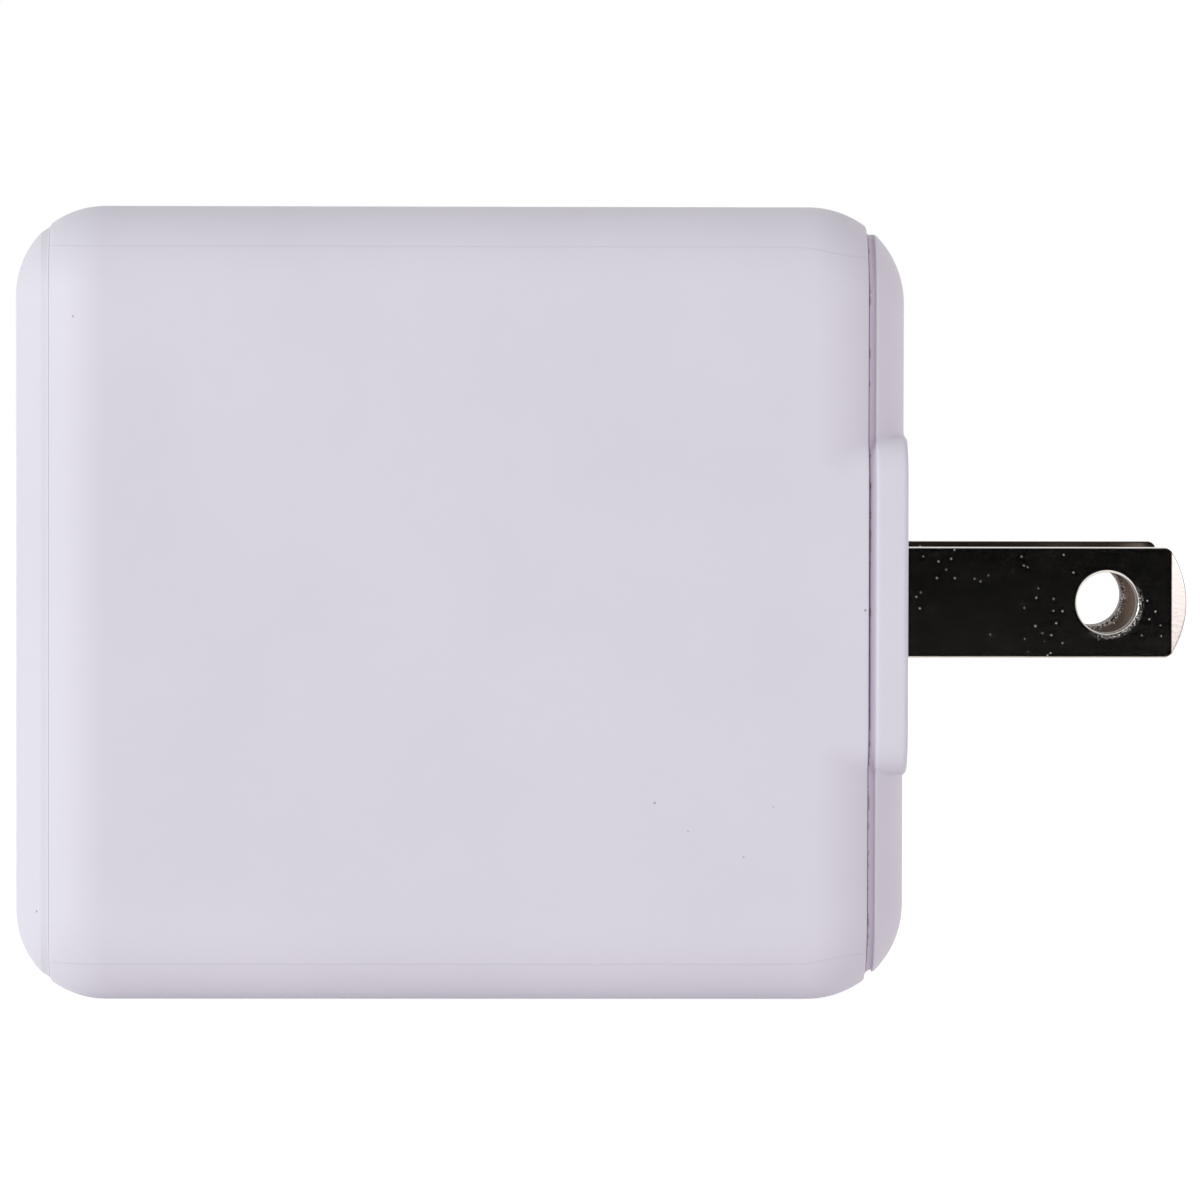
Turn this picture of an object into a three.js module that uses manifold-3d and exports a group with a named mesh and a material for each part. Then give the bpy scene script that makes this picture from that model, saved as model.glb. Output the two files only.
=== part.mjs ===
// USB wall charger with a fixed two-blade plug and one USB-C port, in millimetres.
// +X points out of the plug face, Y runs across the thickness, and +Z is up.
// The origin is the middle of the flat plug face, halfway between the two blades.

import * as THREE from 'three';
import { mergeVertices } from 'three/addons/utils/BufferGeometryUtils.js';
import Module from 'manifold-3d';

// Housing
const bodyLength = 50.8;
const bodyHeight = 45.4;
const sideMargin = 6.69;
const outlineRadius = 5.5;
const edgeRadius = 5.2;
const edgeLimitShare = 0.95;
const endRoundShare = 0.96;
const wall = 1.9;

// Seams between the sleeve and its two end caps
const plugRim = 1.72;
const portRim = 1.5;
const revealWidth = 0.48;
const revealDepth = 0.28;
const rimStep = 0.03;
const partingGap = 0.08;
const spigotDepth = 5.5;
const spigotWall = 1.2;
const spigotFit = 0.12;
const spigotLeadIn = 0.4;

// Block that squares off the rounded end beside the blades
const bandRise = 0.05;
const bandMargin = 6.5;
const bandRadius = 2.4;
const bandEdge = 0.3;

// Blades
const bladeWidth = 6.35;
const bladeThickness = 1.52;
const bladeSpacing = 12.7;
const bladeLength = 16.4;
const bladeTipRadius = 5.4;
const bladeTipBevel = 0.9;
const bladeTipThickness = 0.72;
const bladeEdgeBreak = 0.14;
const bladeHoleDiameter = 3.5;
const bladeHoleFromTip = 4.6;
const bladeFit = 0.1;
const rootRelief = 0.05;
const rootReliefEnd = 0.15;
const shoulderWidth = 9.2;
const shoulderLength = 1.2;
const tailWidth = 5;
const tailLength = 5;

// Seat of the blades in the plug cap
const bossDepth = 2;
const bossWall = 1.3;
const retainerDepth = 1.5;
const retainerMargin = 2.4;
const stakeDiameter = 2.2;
const stakeFit = 0.12;
const stakeHead = 0.5;
const seatGap = 0.2;

// Leaf contacts between the blades and the main board
const contactThickness = 0.4;
const contactWidth = 2;
const contactLength = 2.4;
const contactGap = 0.6;

// Circuit boards and the rails that hold the main one
const boardThickness = 1.2;
const solderSpace = 2.7;
const boardSideGap = 0.6;
const boardEndGap = 1.4;
const boardCorner = 1;
const railWidth = 0.9;
const railHeight = 1.5;
const railFit = 0.1;
const portBoardThickness = 1;
const portBoardHeight = 18;
const portBoardReach = 6.4;
const barrierWidth = 1.4;
const barrierLength = 13;

// USB-C receptacle
const receptacleWidth = 8.94;
const receptacleHeight = 3.16;
const receptacleWall = 0.3;
const receptacleRecess = 0.35;
const receptacleFit = 0.15;
const tongueWidth = 6.69;
const tongueThickness = 0.7;
const tongueRecess = 0.7;
const tongueBase = 2;
const mouthChamfer = 0.35;
const collarWall = 1;
const collarDepth = 2.5;

// Parts on the main board: each size is a share of the largest part that board and sleeve leave room for
const rowGap = 0.6;
const headGap = 2;
const heightRoomShare = 0.82;
const headRoomShare = 1.7;
const fuseShares = { radius: 0.049, capRadius: 0.055, capLength: 0.062, length: 0.31 };
const varistorShares = { radius: 0.123, thickness: 0.098, bevel: 0.025 };
const filmCapacitorShares = { depth: 0.17, width: 0.37, height: 0.34, corner: 0.025 };
const lineChokeShares = {
  radius: 0.123, waist: 0.055, flange: 0.037, height: 0.308, winding: 0.052, fit: 0.006,
};
const bulkCapacitorShares = { radius: 0.126, crimp: 0.011, crimpHeight: 0.062, crown: 0.018 };
const outputCapacitorShares = {
  radius: 0.08, height: 0.277, crimp: 0.006, crimpHeight: 0.043, crown: 0.012,
};
const outputChokeShares = {
  radius: 0.083, waist: 0.037, flange: 0.025, height: 0.185, winding: 0.031, fit: 0.006,
};
const safetyCapacitorShares = { radius: 0.105, thickness: 0.092, bevel: 0.028 };
const transformerShares = {
  width: 0.385,
  length: 0.46,
  depth: 0.185,
  centreLeg: 0.123,
  outerLeg: 0.062,
  backBar: 0.068,
  fit: 0.005,
  bobbinWall: 0.015,
  flange: 0.022,
  winding: 0.035,
};
const bridgeShares = { depth: 0.154, width: 0.197, legWidth: 0.028, legReach: 0.031 };
const powerSwitchShares = { depth: 0.185, width: 0.246, legWidth: 0.018, legReach: 0.018 };
const controllerShares = { depth: 0.151, width: 0.12, legWidth: 0.012, legReach: 0.031 };
const rectifierShares = { depth: 0.154, width: 0.178, legWidth: 0.015, legReach: 0.018 };
const bridgePlaceShares = [0.2, -0.25];
const powerSwitchPlaceShares = [0.5, 0.25];
const controllerPlaceShares = [0.5, -0.25];
const rectifierPlaceShares = [0.8, 0.25];
const packageHeightShare = 0.42;
const packageLegShare = 0.12;
const bridgeLegs = 2;
const chipLegs = 4;

// Heat path and insulation
const spreaderThickness = 0.4;
const spreaderMargin = 5;
const sheetThickness = 0.25;
const sheetMargin = 4;

// Smoothness and cutting
const overrun = 1;
const arcSteps = 4;
const smallArcSteps = 3;
const edgeSteps = 6;
const roundSteps = 24;
const holeSteps = 12;
const plainSteps = 1;

// Levels and planes that follow from the sizes above
const edge = Math.min(edgeRadius, outlineRadius * edgeLimitShare);
const capFace = -bandRise;
const portFace = capFace - bodyLength;
const plugSeam = capFace - plugRim;
const portSeam = portFace + portRim;
const sleeveFront = plugSeam - revealWidth;
const sleeveBack = portSeam + revealWidth;
const bodyThickness = bladeSpacing + bladeThickness + 2 * sideMargin;
const bandHalfHeight = bladeWidth / 2 + bandMargin;
const cavityThickness = bodyThickness - 2 * wall;
const cavityHeight = bodyHeight - 2 * wall;
const cavityRadius = edge - wall;
const hollowThickness = cavityThickness - 2 * (spigotFit + spigotWall);
const hollowHeight = cavityHeight - 2 * (spigotFit + spigotWall);
const hollowRadius = cavityRadius - spigotFit - spigotWall;
const plugSpigotEnd = sleeveFront - spigotDepth;
const portSpigotEnd = sleeveBack + spigotDepth;
const shoulderFront = sleeveFront - bossDepth - seatGap;
const shoulderBack = shoulderFront - shoulderLength;
const retainerFront = shoulderBack - seatGap;
const retainerBack = retainerFront - retainerDepth;
const tailEnd = shoulderBack - tailLength;
const boardBack = cavityThickness / 2 - solderSpace;
const boardFace = boardBack - boardThickness;
const boardFront = plugSpigotEnd - boardEndGap;
const boardEnd = portSpigotEnd + boardEndGap;
const boardLength = boardFront - boardEnd;
const boardHeight = cavityHeight - 2 * boardSideGap;
const portBoardFace = boardEnd - seatGap - portBoardThickness;
const seatLevel = boardFace - seatGap;
const headroom = seatLevel + cavityThickness / 2 - sheetThickness - 2 * seatGap;
const partRoom = Math.min(boardLength, boardHeight * heightRoomShare, headroom * headRoomShare);

// The sizes of a part on the board, from its shares of the room
function sized(shares) {
  return Object.fromEntries(Object.entries(shares).map(([key, share]) => [key, share * partRoom]));
}

// The sizes of a flat package on the solder side, whose height follows the space behind the board
function packaged(shares, legs) {
  const height = solderSpace * packageHeightShare;
  return { ...sized(shares), legs, height, legHeight: solderSpace * packageLegShare };
}

const fuse = sized(fuseShares);
const varistor = sized(varistorShares);
const filmCapacitor = sized(filmCapacitorShares);
const lineChoke = sized(lineChokeShares);
const bulkCapacitor = { ...sized(bulkCapacitorShares), height: headroom - headGap };
const outputCapacitor = sized(outputCapacitorShares);
const outputChoke = sized(outputChokeShares);
const safetyCapacitor = sized(safetyCapacitorShares);
const transformer = sized(transformerShares);
const bridge = packaged(bridgeShares, bridgeLegs);
const powerSwitch = packaged(powerSwitchShares, chipLegs);
const controller = packaged(controllerShares, chipLegs);
const rectifier = packaged(rectifierShares, chipLegs);

// Turns of an outline drawn in X and Y: along X for a section, across Y for a side view
const alongX = new THREE.Matrix4().makeBasis(
  new THREE.Vector3(0, 1, 0),
  new THREE.Vector3(0, 0, 1),
  new THREE.Vector3(1, 0, 0),
);
const acrossY = new THREE.Matrix4().makeBasis(
  new THREE.Vector3(1, 0, 0),
  new THREE.Vector3(0, 0, 1),
  new THREE.Vector3(0, -1, 0),
);

const wasm = await Module();
wasm.setup();

// Merges a closed geometry and drops the empty triangles at the poles of a revolved one
function solid(geometry) {
  geometry.deleteAttribute('normal');
  geometry.deleteAttribute('uv');
  const merged = mergeVertices(geometry);
  const corners = merged.index.array;
  const kept = [];
  for (let i = 0; i < corners.length; i += 3) {
    const [a, b, c] = corners.subarray(i, i + 3);
    if (a !== b && b !== c && c !== a) kept.push(a, b, c);
  }
  return new wasm.Manifold(new wasm.Mesh({
    numProp: 3,
    vertProperties: new Float32Array(merged.attributes.position.array),
    triVerts: new Uint32Array(kept),
  }));
}

// A named mesh with a material of its own
function piece(name, body, finish) {
  const { vertProperties, triVerts } = body.getMesh();
  const geometry = new THREE.BufferGeometry();
  geometry.setAttribute('position', new THREE.BufferAttribute(vertProperties, 3));
  geometry.setIndex(new THREE.BufferAttribute(triVerts, 1));
  geometry.computeVertexNormals();
  const mesh = new THREE.Mesh(geometry, new THREE.MeshStandardMaterial(finish));
  mesh.name = name;
  return mesh;
}

// A box between two corners
function block(low, high) {
  const size = high.map((value, axis) => value - low[axis]);
  const middle = high.map((value, axis) => (value + low[axis]) / 2);
  return solid(new THREE.BoxGeometry(...size).translate(...middle));
}

// A centred rectangle with round corners
function roundedRectangle(width, height, radius) {
  const x = width / 2 - radius;
  const y = height / 2 - radius;
  const quarter = Math.PI / 2;
  const shape = new THREE.Shape();
  shape.absarc(x, y, radius, 0, quarter, false);
  shape.absarc(-x, y, radius, quarter, 2 * quarter, false);
  shape.absarc(-x, -y, radius, 2 * quarter, 3 * quarter, false);
  shape.absarc(x, -y, radius, 3 * quarter, 4 * quarter, false);
  shape.closePath();
  return shape;
}

// A centred circle
function circle(radius, x = 0, y = 0) {
  const shape = new THREE.Shape();
  shape.absarc(x, y, radius, 0, 2 * Math.PI, false);
  return shape;
}

// A section in Y and Z carried along X between two planes, in either order
function prism(section, from, to, steps = arcSteps) {
  const options = { depth: Math.abs(to - from), bevelEnabled: false, curveSegments: steps };
  const geometry = new THREE.ExtrudeGeometry(section, options).applyMatrix4(alongX);
  return solid(geometry.translate(Math.min(from, to), 0, 0));
}

// An outline carried through a thickness about its middle, with both rims rounded inwards
function pillow(outline, thickness, bevel, bevelSteps, steps = arcSteps) {
  const options = {
    depth: thickness - 2 * bevel,
    bevelThickness: bevel,
    bevelSize: bevel,
    bevelOffset: -bevel,
    bevelSegments: bevelSteps,
    curveSegments: steps,
  };
  return new THREE.ExtrudeGeometry(outline, options).translate(0, 0, bevel - thickness / 2);
}

// A profile of radius and height points turned about the Y axis
function revolved(points, steps = roundSteps) {
  const profile = points.map(([radius, height]) => new THREE.Vector2(radius, height));
  return solid(new THREE.LatheGeometry(profile, steps));
}

// The rounded body of the housing, drawn in by an inset
function bodyForm(inset) {
  const outline = roundedRectangle(
    bodyLength - 2 * inset,
    bodyHeight - 2 * inset,
    outlineRadius - inset,
  );
  const body = pillow(outline, bodyThickness - 2 * inset, edge - inset, edgeSteps);
  return solid(body.applyMatrix4(acrossY).translate((capFace + portFace) / 2, 0, 0));
}

// The block beside the blades, drawn in by an inset
function bandForm(inset) {
  const section = roundedRectangle(
    bodyThickness - 2 * inset,
    2 * (bandHalfHeight - inset),
    bandRadius - inset,
  );
  const bandDepth = edge + wall;
  const band = new THREE.ExtrudeGeometry(section, {
    depth: bandDepth - bandEdge,
    bevelThickness: bandEdge,
    bevelSize: bandEdge,
    bevelOffset: -bandEdge,
    bevelSegments: 2,
    curveSegments: smallArcSteps,
  });
  return solid(band.applyMatrix4(alongX).translate(-bandDepth - inset, 0, 0));
}

// Everything of a form that lies between two planes across X
function between(form, from, to) {
  const y = bodyThickness / 2 + overrun;
  const z = bodyHeight / 2 + overrun;
  return form.intersect(block([Math.min(from, to), -y, -z], [Math.max(from, to), y, z]));
}

const cavity = roundedRectangle(cavityThickness, cavityHeight, cavityRadius);
const hollow = roundedRectangle(hollowThickness, hollowHeight, hollowRadius);
const housing = bodyForm(0).add(bandForm(0));

// The extruded middle of the housing with the rails that hold the main board's edges
function sleeveBody() {
  let body = between(housing, sleeveBack, sleeveFront);
  body = body.subtract(prism(cavity, sleeveBack - overrun, sleeveFront + overrun));
  const railFront = plugSpigotEnd - seatGap;
  const railEnd = portSpigotEnd + seatGap;
  const inner = cavityHeight / 2 - railHeight;
  const rooted = cavityHeight / 2 + wall / 2;
  for (const low of [boardFace - railFit - railWidth, boardBack + railFit]) {
    body = body.add(block([railEnd, low, inner], [railFront, low + railWidth, rooted]));
    body = body.add(block([railEnd, low, -rooted], [railFront, low + railWidth, -inner]));
  }
  return body;
}

// The wall of a cap that slides inside the sleeve, drawn in at its mouth for an easy start
function spigot(seam, end) {
  const inward = Math.sign(end - seam);
  const start = seam - inward * revealDepth;
  const shoulder = end - inward * spigotLeadIn;
  const full = prism(roundedRectangle(
    cavityThickness - 2 * spigotFit,
    cavityHeight - 2 * spigotFit,
    cavityRadius - spigotFit,
  ), start, shoulder);
  const drawnIn = spigotFit + spigotLeadIn;
  const tip = prism(roundedRectangle(
    cavityThickness - 2 * drawnIn,
    cavityHeight - 2 * drawnIn,
    cavityRadius - drawnIn,
  ), shoulder, end);
  return full.add(tip);
}

// The sloping rim of a cap, from just under its surface at the seam to the bottom of the reveal
function rim(form, seam, foot) {
  const root = seam + seam - foot;
  const surface = between(form(rimStep), root, seam);
  const sunk = between(form(revealDepth), seam, foot);
  return sunk.isEmpty() ? sunk : wasm.Manifold.hull([surface, sunk]);
}

// An end cap: its visible skin, the sloping rim that shows in the seam, and the spigot
function capBlank(seam, end) {
  const inward = Math.sign(end - seam);
  const outside = seam - inward * bodyLength;
  const plate = seam + inward * revealWidth;
  const foot = plate - inward * partingGap;
  return between(housing, seam, outside)
    .add(rim(bodyForm, seam, foot))
    .add(rim(bandForm, seam, foot))
    .add(spigot(seam, end))
    .subtract(prism(hollow, plate, end + inward * overrun));
}

// The plug cap with its blade slots, the bosses round them and the two stakes for the retainer
function plugCapBody() {
  let body = capBlank(plugSeam, plugSpigotEnd);
  const bossY = bladeThickness / 2 + bladeFit + bossWall;
  const bossZ = bladeWidth / 2 + bladeFit + bossWall;
  const bossEnd = sleeveFront - bossDepth;
  for (const side of [-1, 1]) {
    const y = side * bladeSpacing / 2;
    body = body.add(block([bossEnd, y - bossY, -bossZ], [plugSeam, y + bossY, bossZ]));
    const z = side * stakeHeight();
    const stakeEnd = retainerBack - stakeHead;
    body = body.add(prism(circle(stakeDiameter / 2, 0, z), stakeEnd, plugSeam, smallArcSteps));
  }
  const slotY = bladeThickness / 2 + bladeFit;
  const slotZ = bladeWidth / 2 + bladeFit;
  for (const side of [-1, 1]) {
    const y = side * bladeSpacing / 2;
    body = body.subtract(block(
      [bossEnd - overrun, y - slotY, -slotZ],
      [overrun, y + slotY, slotZ],
    ));
  }
  return body;
}

// The stakes stand in the middle of the retainer's margin, clear of the blades' shoulders
function stakeHeight() {
  return shoulderWidth / 2 + retainerMargin / 2;
}

// The plate behind the blades' shoulders, with slots for the tails and holes for the stakes
function retainerBody() {
  const width = bladeSpacing + bladeThickness + 2 * retainerMargin;
  const height = 2 * (shoulderWidth / 2 + retainerMargin + stakeDiameter / 2);
  const outline = roundedRectangle(width, height, retainerMargin / 2);
  const slotY = bladeThickness / 2 + bladeFit;
  const slotZ = tailWidth / 2 + bladeFit;
  for (const side of [-1, 1]) {
    outline.holes.push(circle(stakeDiameter / 2 + stakeFit, 0, side * stakeHeight()));
  }
  let body = prism(outline, retainerFront, retainerBack, smallArcSteps);
  for (const side of [-1, 1]) {
    const y = side * bladeSpacing / 2;
    body = body.subtract(block(
      [retainerBack - overrun, y - slotY, -slotZ],
      [retainerFront + overrun, y + slotY, slotZ],
    ));
  }
  return body;
}

// A blade: arched tip, drilled hole, shoulder behind the cap's boss and a narrow tail
function bladeBody() {
  const half = bladeWidth / 2;
  const outline = new THREE.Shape();
  const tipAngle = Math.asin(Math.min(half / bladeTipRadius, 1));
  outline.moveTo(tailEnd, -tailWidth / 2);
  outline.lineTo(shoulderBack, -tailWidth / 2);
  outline.lineTo(shoulderBack, -shoulderWidth / 2);
  outline.lineTo(shoulderFront, -shoulderWidth / 2);
  outline.lineTo(shoulderFront, -half);
  outline.absarc(bladeLength - bladeTipRadius, 0, bladeTipRadius, -tipAngle, tipAngle, false);
  outline.lineTo(shoulderFront, half);
  outline.lineTo(shoulderFront, shoulderWidth / 2);
  outline.lineTo(shoulderBack, shoulderWidth / 2);
  outline.lineTo(shoulderBack, tailWidth / 2);
  outline.lineTo(tailEnd, tailWidth / 2);
  outline.closePath();
  outline.holes.push(circle(bladeHoleDiameter / 2, bladeLength - bladeHoleFromTip));
  const strip = solid(
    pillow(outline, bladeThickness, bladeEdgeBreak, plainSteps, holeSteps).applyMatrix4(acrossY),
  );
  return strip.intersect(tipWedge());
}

// The plan of a blade, relieved where it passes through the cap and thinned towards its tip
function tipWedge() {
  const half = bladeThickness / 2;
  const root = half - rootRelief;
  const tip = bladeTipThickness / 2;
  const profile = [
    [tailEnd - overrun, root],
    [rootReliefEnd, root],
    [rootReliefEnd, half],
    [bladeLength - bladeTipBevel, half],
    [bladeLength, tip],
  ];
  const upper = profile.map(([x, y]) => new THREE.Vector2(x, y));
  const lower = profile.map(([x, y]) => new THREE.Vector2(x, -y)).reverse();
  const plan = new THREE.Shape([...upper, ...lower]);
  const height = shoulderWidth + 2 * overrun;
  const wedge = new THREE.ExtrudeGeometry(plan, { depth: height, bevelEnabled: false });
  return solid(wedge.translate(0, 0, -height / 2));
}

// A bent strip: its foot on the main board, its leaf along the inner face of a blade's tail
function contactBody(side) {
  const leaf = side * (bladeSpacing / 2 - bladeThickness / 2 - seatGap);
  const leafInner = leaf - side * contactThickness;
  const postFront = tailEnd - seatGap;
  const postBack = postFront - contactThickness;
  const leafLow = Math.min(leaf, leafInner);
  const leafHigh = Math.max(leaf, leafInner);
  const z = contactWidth / 2;
  const strip = block([postBack, leafLow, -z], [postFront + contactLength, leafHigh, z]);
  return strip.add(block([postBack, leafLow, -z], [postFront, seatLevel, z]));
}

// The main board with a milled slot that parts the mains side from the output side
function mainBoardBody() {
  const outline = roundedRectangle(boardLength, boardHeight, boardCorner);
  const slot = roundedRectangle(barrierWidth, barrierLength, barrierWidth / 2 * endRoundShare);
  const shift = boardLength / 2 - barrierInset();
  outline.holes.push(new THREE.Path(slot.getPoints(smallArcSteps)
    .map((point) => new THREE.Vector2(point.x + shift, point.y - boardHeight / 4))));
  const board = new THREE.ExtrudeGeometry(outline, {
    depth: boardThickness, bevelEnabled: false, curveSegments: smallArcSteps,
  });
  return solid(board.applyMatrix4(acrossY).translate(0, boardThickness / 2, 0));
}

// Distance from the board's plug end to the milled slot, just past the bulk capacitors
function barrierInset() {
  return rowThree() + 2 * bulkCapacitor.radius + rowGap / 2;
}

// Rows of parts start one after another from the board's plug end
function rowOne() {
  return boardFront - (tailEnd - seatGap - contactThickness) + rowGap;
}

function rowTwo() {
  return rowOne() + Math.max(2 * fuse.capRadius, varistor.thickness) + rowGap;
}

function rowThree() {
  return rowTwo() + 2 * lineChoke.radius + rowGap;
}

function rowFour() {
  return rowThree() + 2 * bulkCapacitor.radius + 2 * rowGap;
}

// The vertical board behind the receptacle, carried at the end of the main board
function portBoardBody() {
  const top = boardBack;
  return block(
    [portBoardFace, -portBoardReach, -portBoardHeight / 2],
    [portBoardFace + portBoardThickness, top, portBoardHeight / 2],
  );
}

// The receptacle's outline, drawn out by a margin
function receptacleOutline(margin) {
  const width = receptacleHeight + 2 * margin;
  return roundedRectangle(width, receptacleWidth + 2 * margin, width / 2 * endRoundShare);
}

function receptacleShellBody() {
  const front = portFace + receptacleRecess;
  const shell = prism(receptacleOutline(0), front, portBoardFace - seatGap);
  const bore = prism(receptacleOutline(-receptacleWall), front - overrun, portBoardFace);
  return shell.subtract(bore);
}

// The insulator: a base that closes the back of the shell and the tongue that carries contacts
function receptacleTongueBody() {
  const back = portBoardFace - seatGap;
  const front = back - tongueBase;
  const tip = portFace + receptacleRecess + tongueRecess;
  const base = prism(receptacleOutline(-receptacleWall - receptacleFit / 2), front, back);
  return base.add(block(
    [tip, -tongueThickness / 2, -tongueWidth / 2],
    [back, tongueThickness / 2, tongueWidth / 2],
  ));
}

// The port cap with its mouth, chamfered outside and collared inside
function portCapBody() {
  const plate = portSeam + revealWidth;
  const mouth = receptacleOutline(receptacleFit);
  const collar = prism(receptacleOutline(receptacleFit + collarWall), portSeam, plate + collarDepth);
  const chamfer = new THREE.ExtrudeGeometry(mouth, {
    depth: overrun,
    bevelThickness: mouthChamfer,
    bevelSize: mouthChamfer,
    bevelSegments: plainSteps,
    curveSegments: arcSteps,
  }).applyMatrix4(alongX).translate(portFace - overrun, 0, 0);
  return capBlank(portSeam, portSpigotEnd)
    .add(collar)
    .subtract(prism(mouth, portFace - overrun, plate + collarDepth + overrun))
    .subtract(solid(chamfer));
}

// A cylinder cell with a rolled crimp near its foot and a rounded crown
function canBody({ radius, height, crimp, crimpHeight, crown }) {
  return revolved([
    [0, 0],
    [radius, 0],
    [radius, crimpHeight - crimp],
    [radius - crimp, crimpHeight],
    [radius, crimpHeight + crimp],
    [radius, height - crown],
    [radius - crown, height],
    [0, height],
  ]);
}

// The ferrite drum of a choke
function drumBody({ radius, waist, flange, height }) {
  return revolved([
    [0, 0],
    [radius, 0],
    [radius, flange],
    [waist, flange],
    [waist, height - flange],
    [radius, height - flange],
    [radius, height],
    [0, height],
  ]);
}

// The winding round a choke's drum
function drumWindingBody({ waist, flange, height, winding, fit }) {
  const inner = waist + fit;
  const outer = inner + winding;
  return revolved([
    [inner, flange + fit],
    [outer, flange + fit],
    [outer, height - flange - fit],
    [inner, height - flange - fit],
    [inner, flange + fit],
  ]);
}

function fuseBody() {
  const half = fuse.length / 2;
  const body = half - fuse.capLength;
  return revolved([
    [0, -half],
    [fuse.capRadius, -half],
    [fuse.capRadius, -body],
    [fuse.radius, -body],
    [fuse.radius, body],
    [fuse.capRadius, body],
    [fuse.capRadius, half],
    [0, half],
  ]);
}

// A coated disc that stands on its rim, thin along X
function discBody({ radius, thickness, bevel }) {
  return solid(pillow(circle(radius), thickness, bevel, smallArcSteps).applyMatrix4(alongX));
}

function filmCapacitorBody() {
  const outline = roundedRectangle(filmCapacitor.height, filmCapacitor.width, filmCapacitor.corner);
  const bevel = filmCapacitor.corner / 2;
  const body = pillow(outline, filmCapacitor.depth, bevel, plainSteps, plainSteps);
  return solid(body.applyMatrix4(alongX));
}

// One half of the transformer's core: a back bar and three legs that point along -Z
function coreHalfBody() {
  const { width, length, depth, centreLeg, outerLeg, backBar, fit } = transformer;
  const far = length / 2;
  const near = fit / 2;
  const root = far - backBar;
  const outer = width / 2;
  const window = outer - outerLeg;
  const leg = centreLeg / 2;
  const outline = new THREE.Shape([
    [-outer, far], [-outer, near], [-window, near], [-window, root],
    [-leg, root], [-leg, near], [leg, near], [leg, root],
    [window, root], [window, near], [outer, near], [outer, far],
  ].map(([x, y]) => new THREE.Vector2(x, y)));
  const core = new THREE.ExtrudeGeometry(outline, { depth, bevelEnabled: false });
  return solid(core.applyMatrix4(acrossY).translate(0, depth / 2, 0));
}

// A box about the transformer's middle
function centredBox(width, depth, length) {
  return block([-width / 2, -depth / 2, -length / 2], [width / 2, depth / 2, length / 2]);
}

// The spool round the core's centre leg, with a flange at each end
function bobbinBody() {
  const { width, length, depth, centreLeg, outerLeg, backBar, fit, bobbinWall, flange } = transformer;
  const boreWidth = centreLeg + 2 * fit;
  const boreDepth = depth + 2 * fit;
  const spoolLength = length - 2 * backBar - 2 * fit;
  const flangeWidth = width - 2 * outerLeg - 2 * fit;
  const cheek = centredBox(flangeWidth, windingDepth(), spoolLength);
  const groove = centredBox(width, 2 * windingDepth(), spoolLength - 2 * flange);
  const tube = centredBox(boreWidth + 2 * bobbinWall, boreDepth + 2 * bobbinWall, spoolLength);
  const bore = centredBox(boreWidth, boreDepth, length);
  return cheek.subtract(groove).add(tube).subtract(bore);
}

// Overall depth of the winding, which is the depth of the spool's flanges too
function windingDepth() {
  const { depth, fit, bobbinWall, winding } = transformer;
  return depth + 4 * fit + 2 * bobbinWall + 2 * winding;
}

function windingBody() {
  const { length, depth, centreLeg, backBar, fit, bobbinWall, flange, winding } = transformer;
  const innerWidth = centreLeg + 4 * fit + 2 * bobbinWall;
  const innerDepth = depth + 4 * fit + 2 * bobbinWall;
  const height = length - 2 * (backBar + 2 * fit + flange);
  const corner = bobbinWall;
  const outer = roundedRectangle(innerWidth + 2 * winding, innerDepth + 2 * winding, corner + winding);
  const inner = roundedRectangle(innerWidth, innerDepth, corner);
  outer.holes.push(new THREE.Path(inner.getPoints(plainSteps)));
  const ring = new THREE.ExtrudeGeometry(outer, {
    depth: height, bevelEnabled: false, curveSegments: plainSteps,
  });
  return solid(ring.translate(0, 0, -height / 2));
}

// A flat package with legs along both long sides, standing up from Y = 0
function chipBody({ depth, width, height, legs, legWidth, legReach, legHeight }) {
  let body = block([-depth / 2, 0, -width / 2], [depth / 2, height, width / 2]);
  for (let leg = 0; leg < legs; leg += 1) {
    const x = depth * ((leg + 1 / 2) / legs - 1 / 2);
    const reach = width / 2 + legReach;
    body = body.add(block(
      [x - legWidth / 2, 0, -reach],
      [x + legWidth / 2, legHeight, reach],
    ));
  }
  return body;
}

// A sheet that lies flat against one of the sleeve's large inner faces
function sheetBody(thickness, margin) {
  const low = portSpigotEnd + margin;
  const high = plugSpigotEnd - margin;
  const z = cavityHeight / 2 - cavityRadius - margin / 2;
  return block([low, -thickness / 2, -z], [high, thickness / 2, z]);
}

const white = { color: 0xd9d6df, roughness: 0.55, metalness: 0 };
const innerWhite = { color: 0xe6e4e2, roughness: 0.6, metalness: 0 };
const nickel = { color: 0x8f8d88, roughness: 0.22, metalness: 1 };
const brass = { color: 0xb6924a, roughness: 0.35, metalness: 1 };
const boardGreen = { color: 0x1f5a38, roughness: 0.5, metalness: 0 };
const steel = { color: 0xb9bbbe, roughness: 0.28, metalness: 1 };
const blackPlastic = { color: 0x17181a, roughness: 0.5, metalness: 0 };
const glass = { color: 0xc9cfd2, roughness: 0.2, metalness: 0 };
const blueEpoxy = { color: 0x2b5f9e, roughness: 0.4, metalness: 0 };
const yellowCase = { color: 0xd9b13a, roughness: 0.45, metalness: 0 };
const ferrite = { color: 0x2f2f31, roughness: 0.7, metalness: 0 };
const copper = { color: 0xa8602f, roughness: 0.35, metalness: 1 };
const canSleeve = { color: 0x1d2a3d, roughness: 0.4, metalness: 0 };
const yellowTape = { color: 0xd8a91f, roughness: 0.4, metalness: 0 };
const aluminium = { color: 0xb4b7ba, roughness: 0.35, metalness: 1 };
const softPad = { color: 0x9aa4ad, roughness: 0.8, metalness: 0 };
const clearSheet = { color: 0xd8dbd6, roughness: 0.25, metalness: 0 };

// Places a mesh built about its own foot
function placed(mesh, x, y, z) {
  mesh.position.set(x, y, z);
  return mesh;
}

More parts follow.
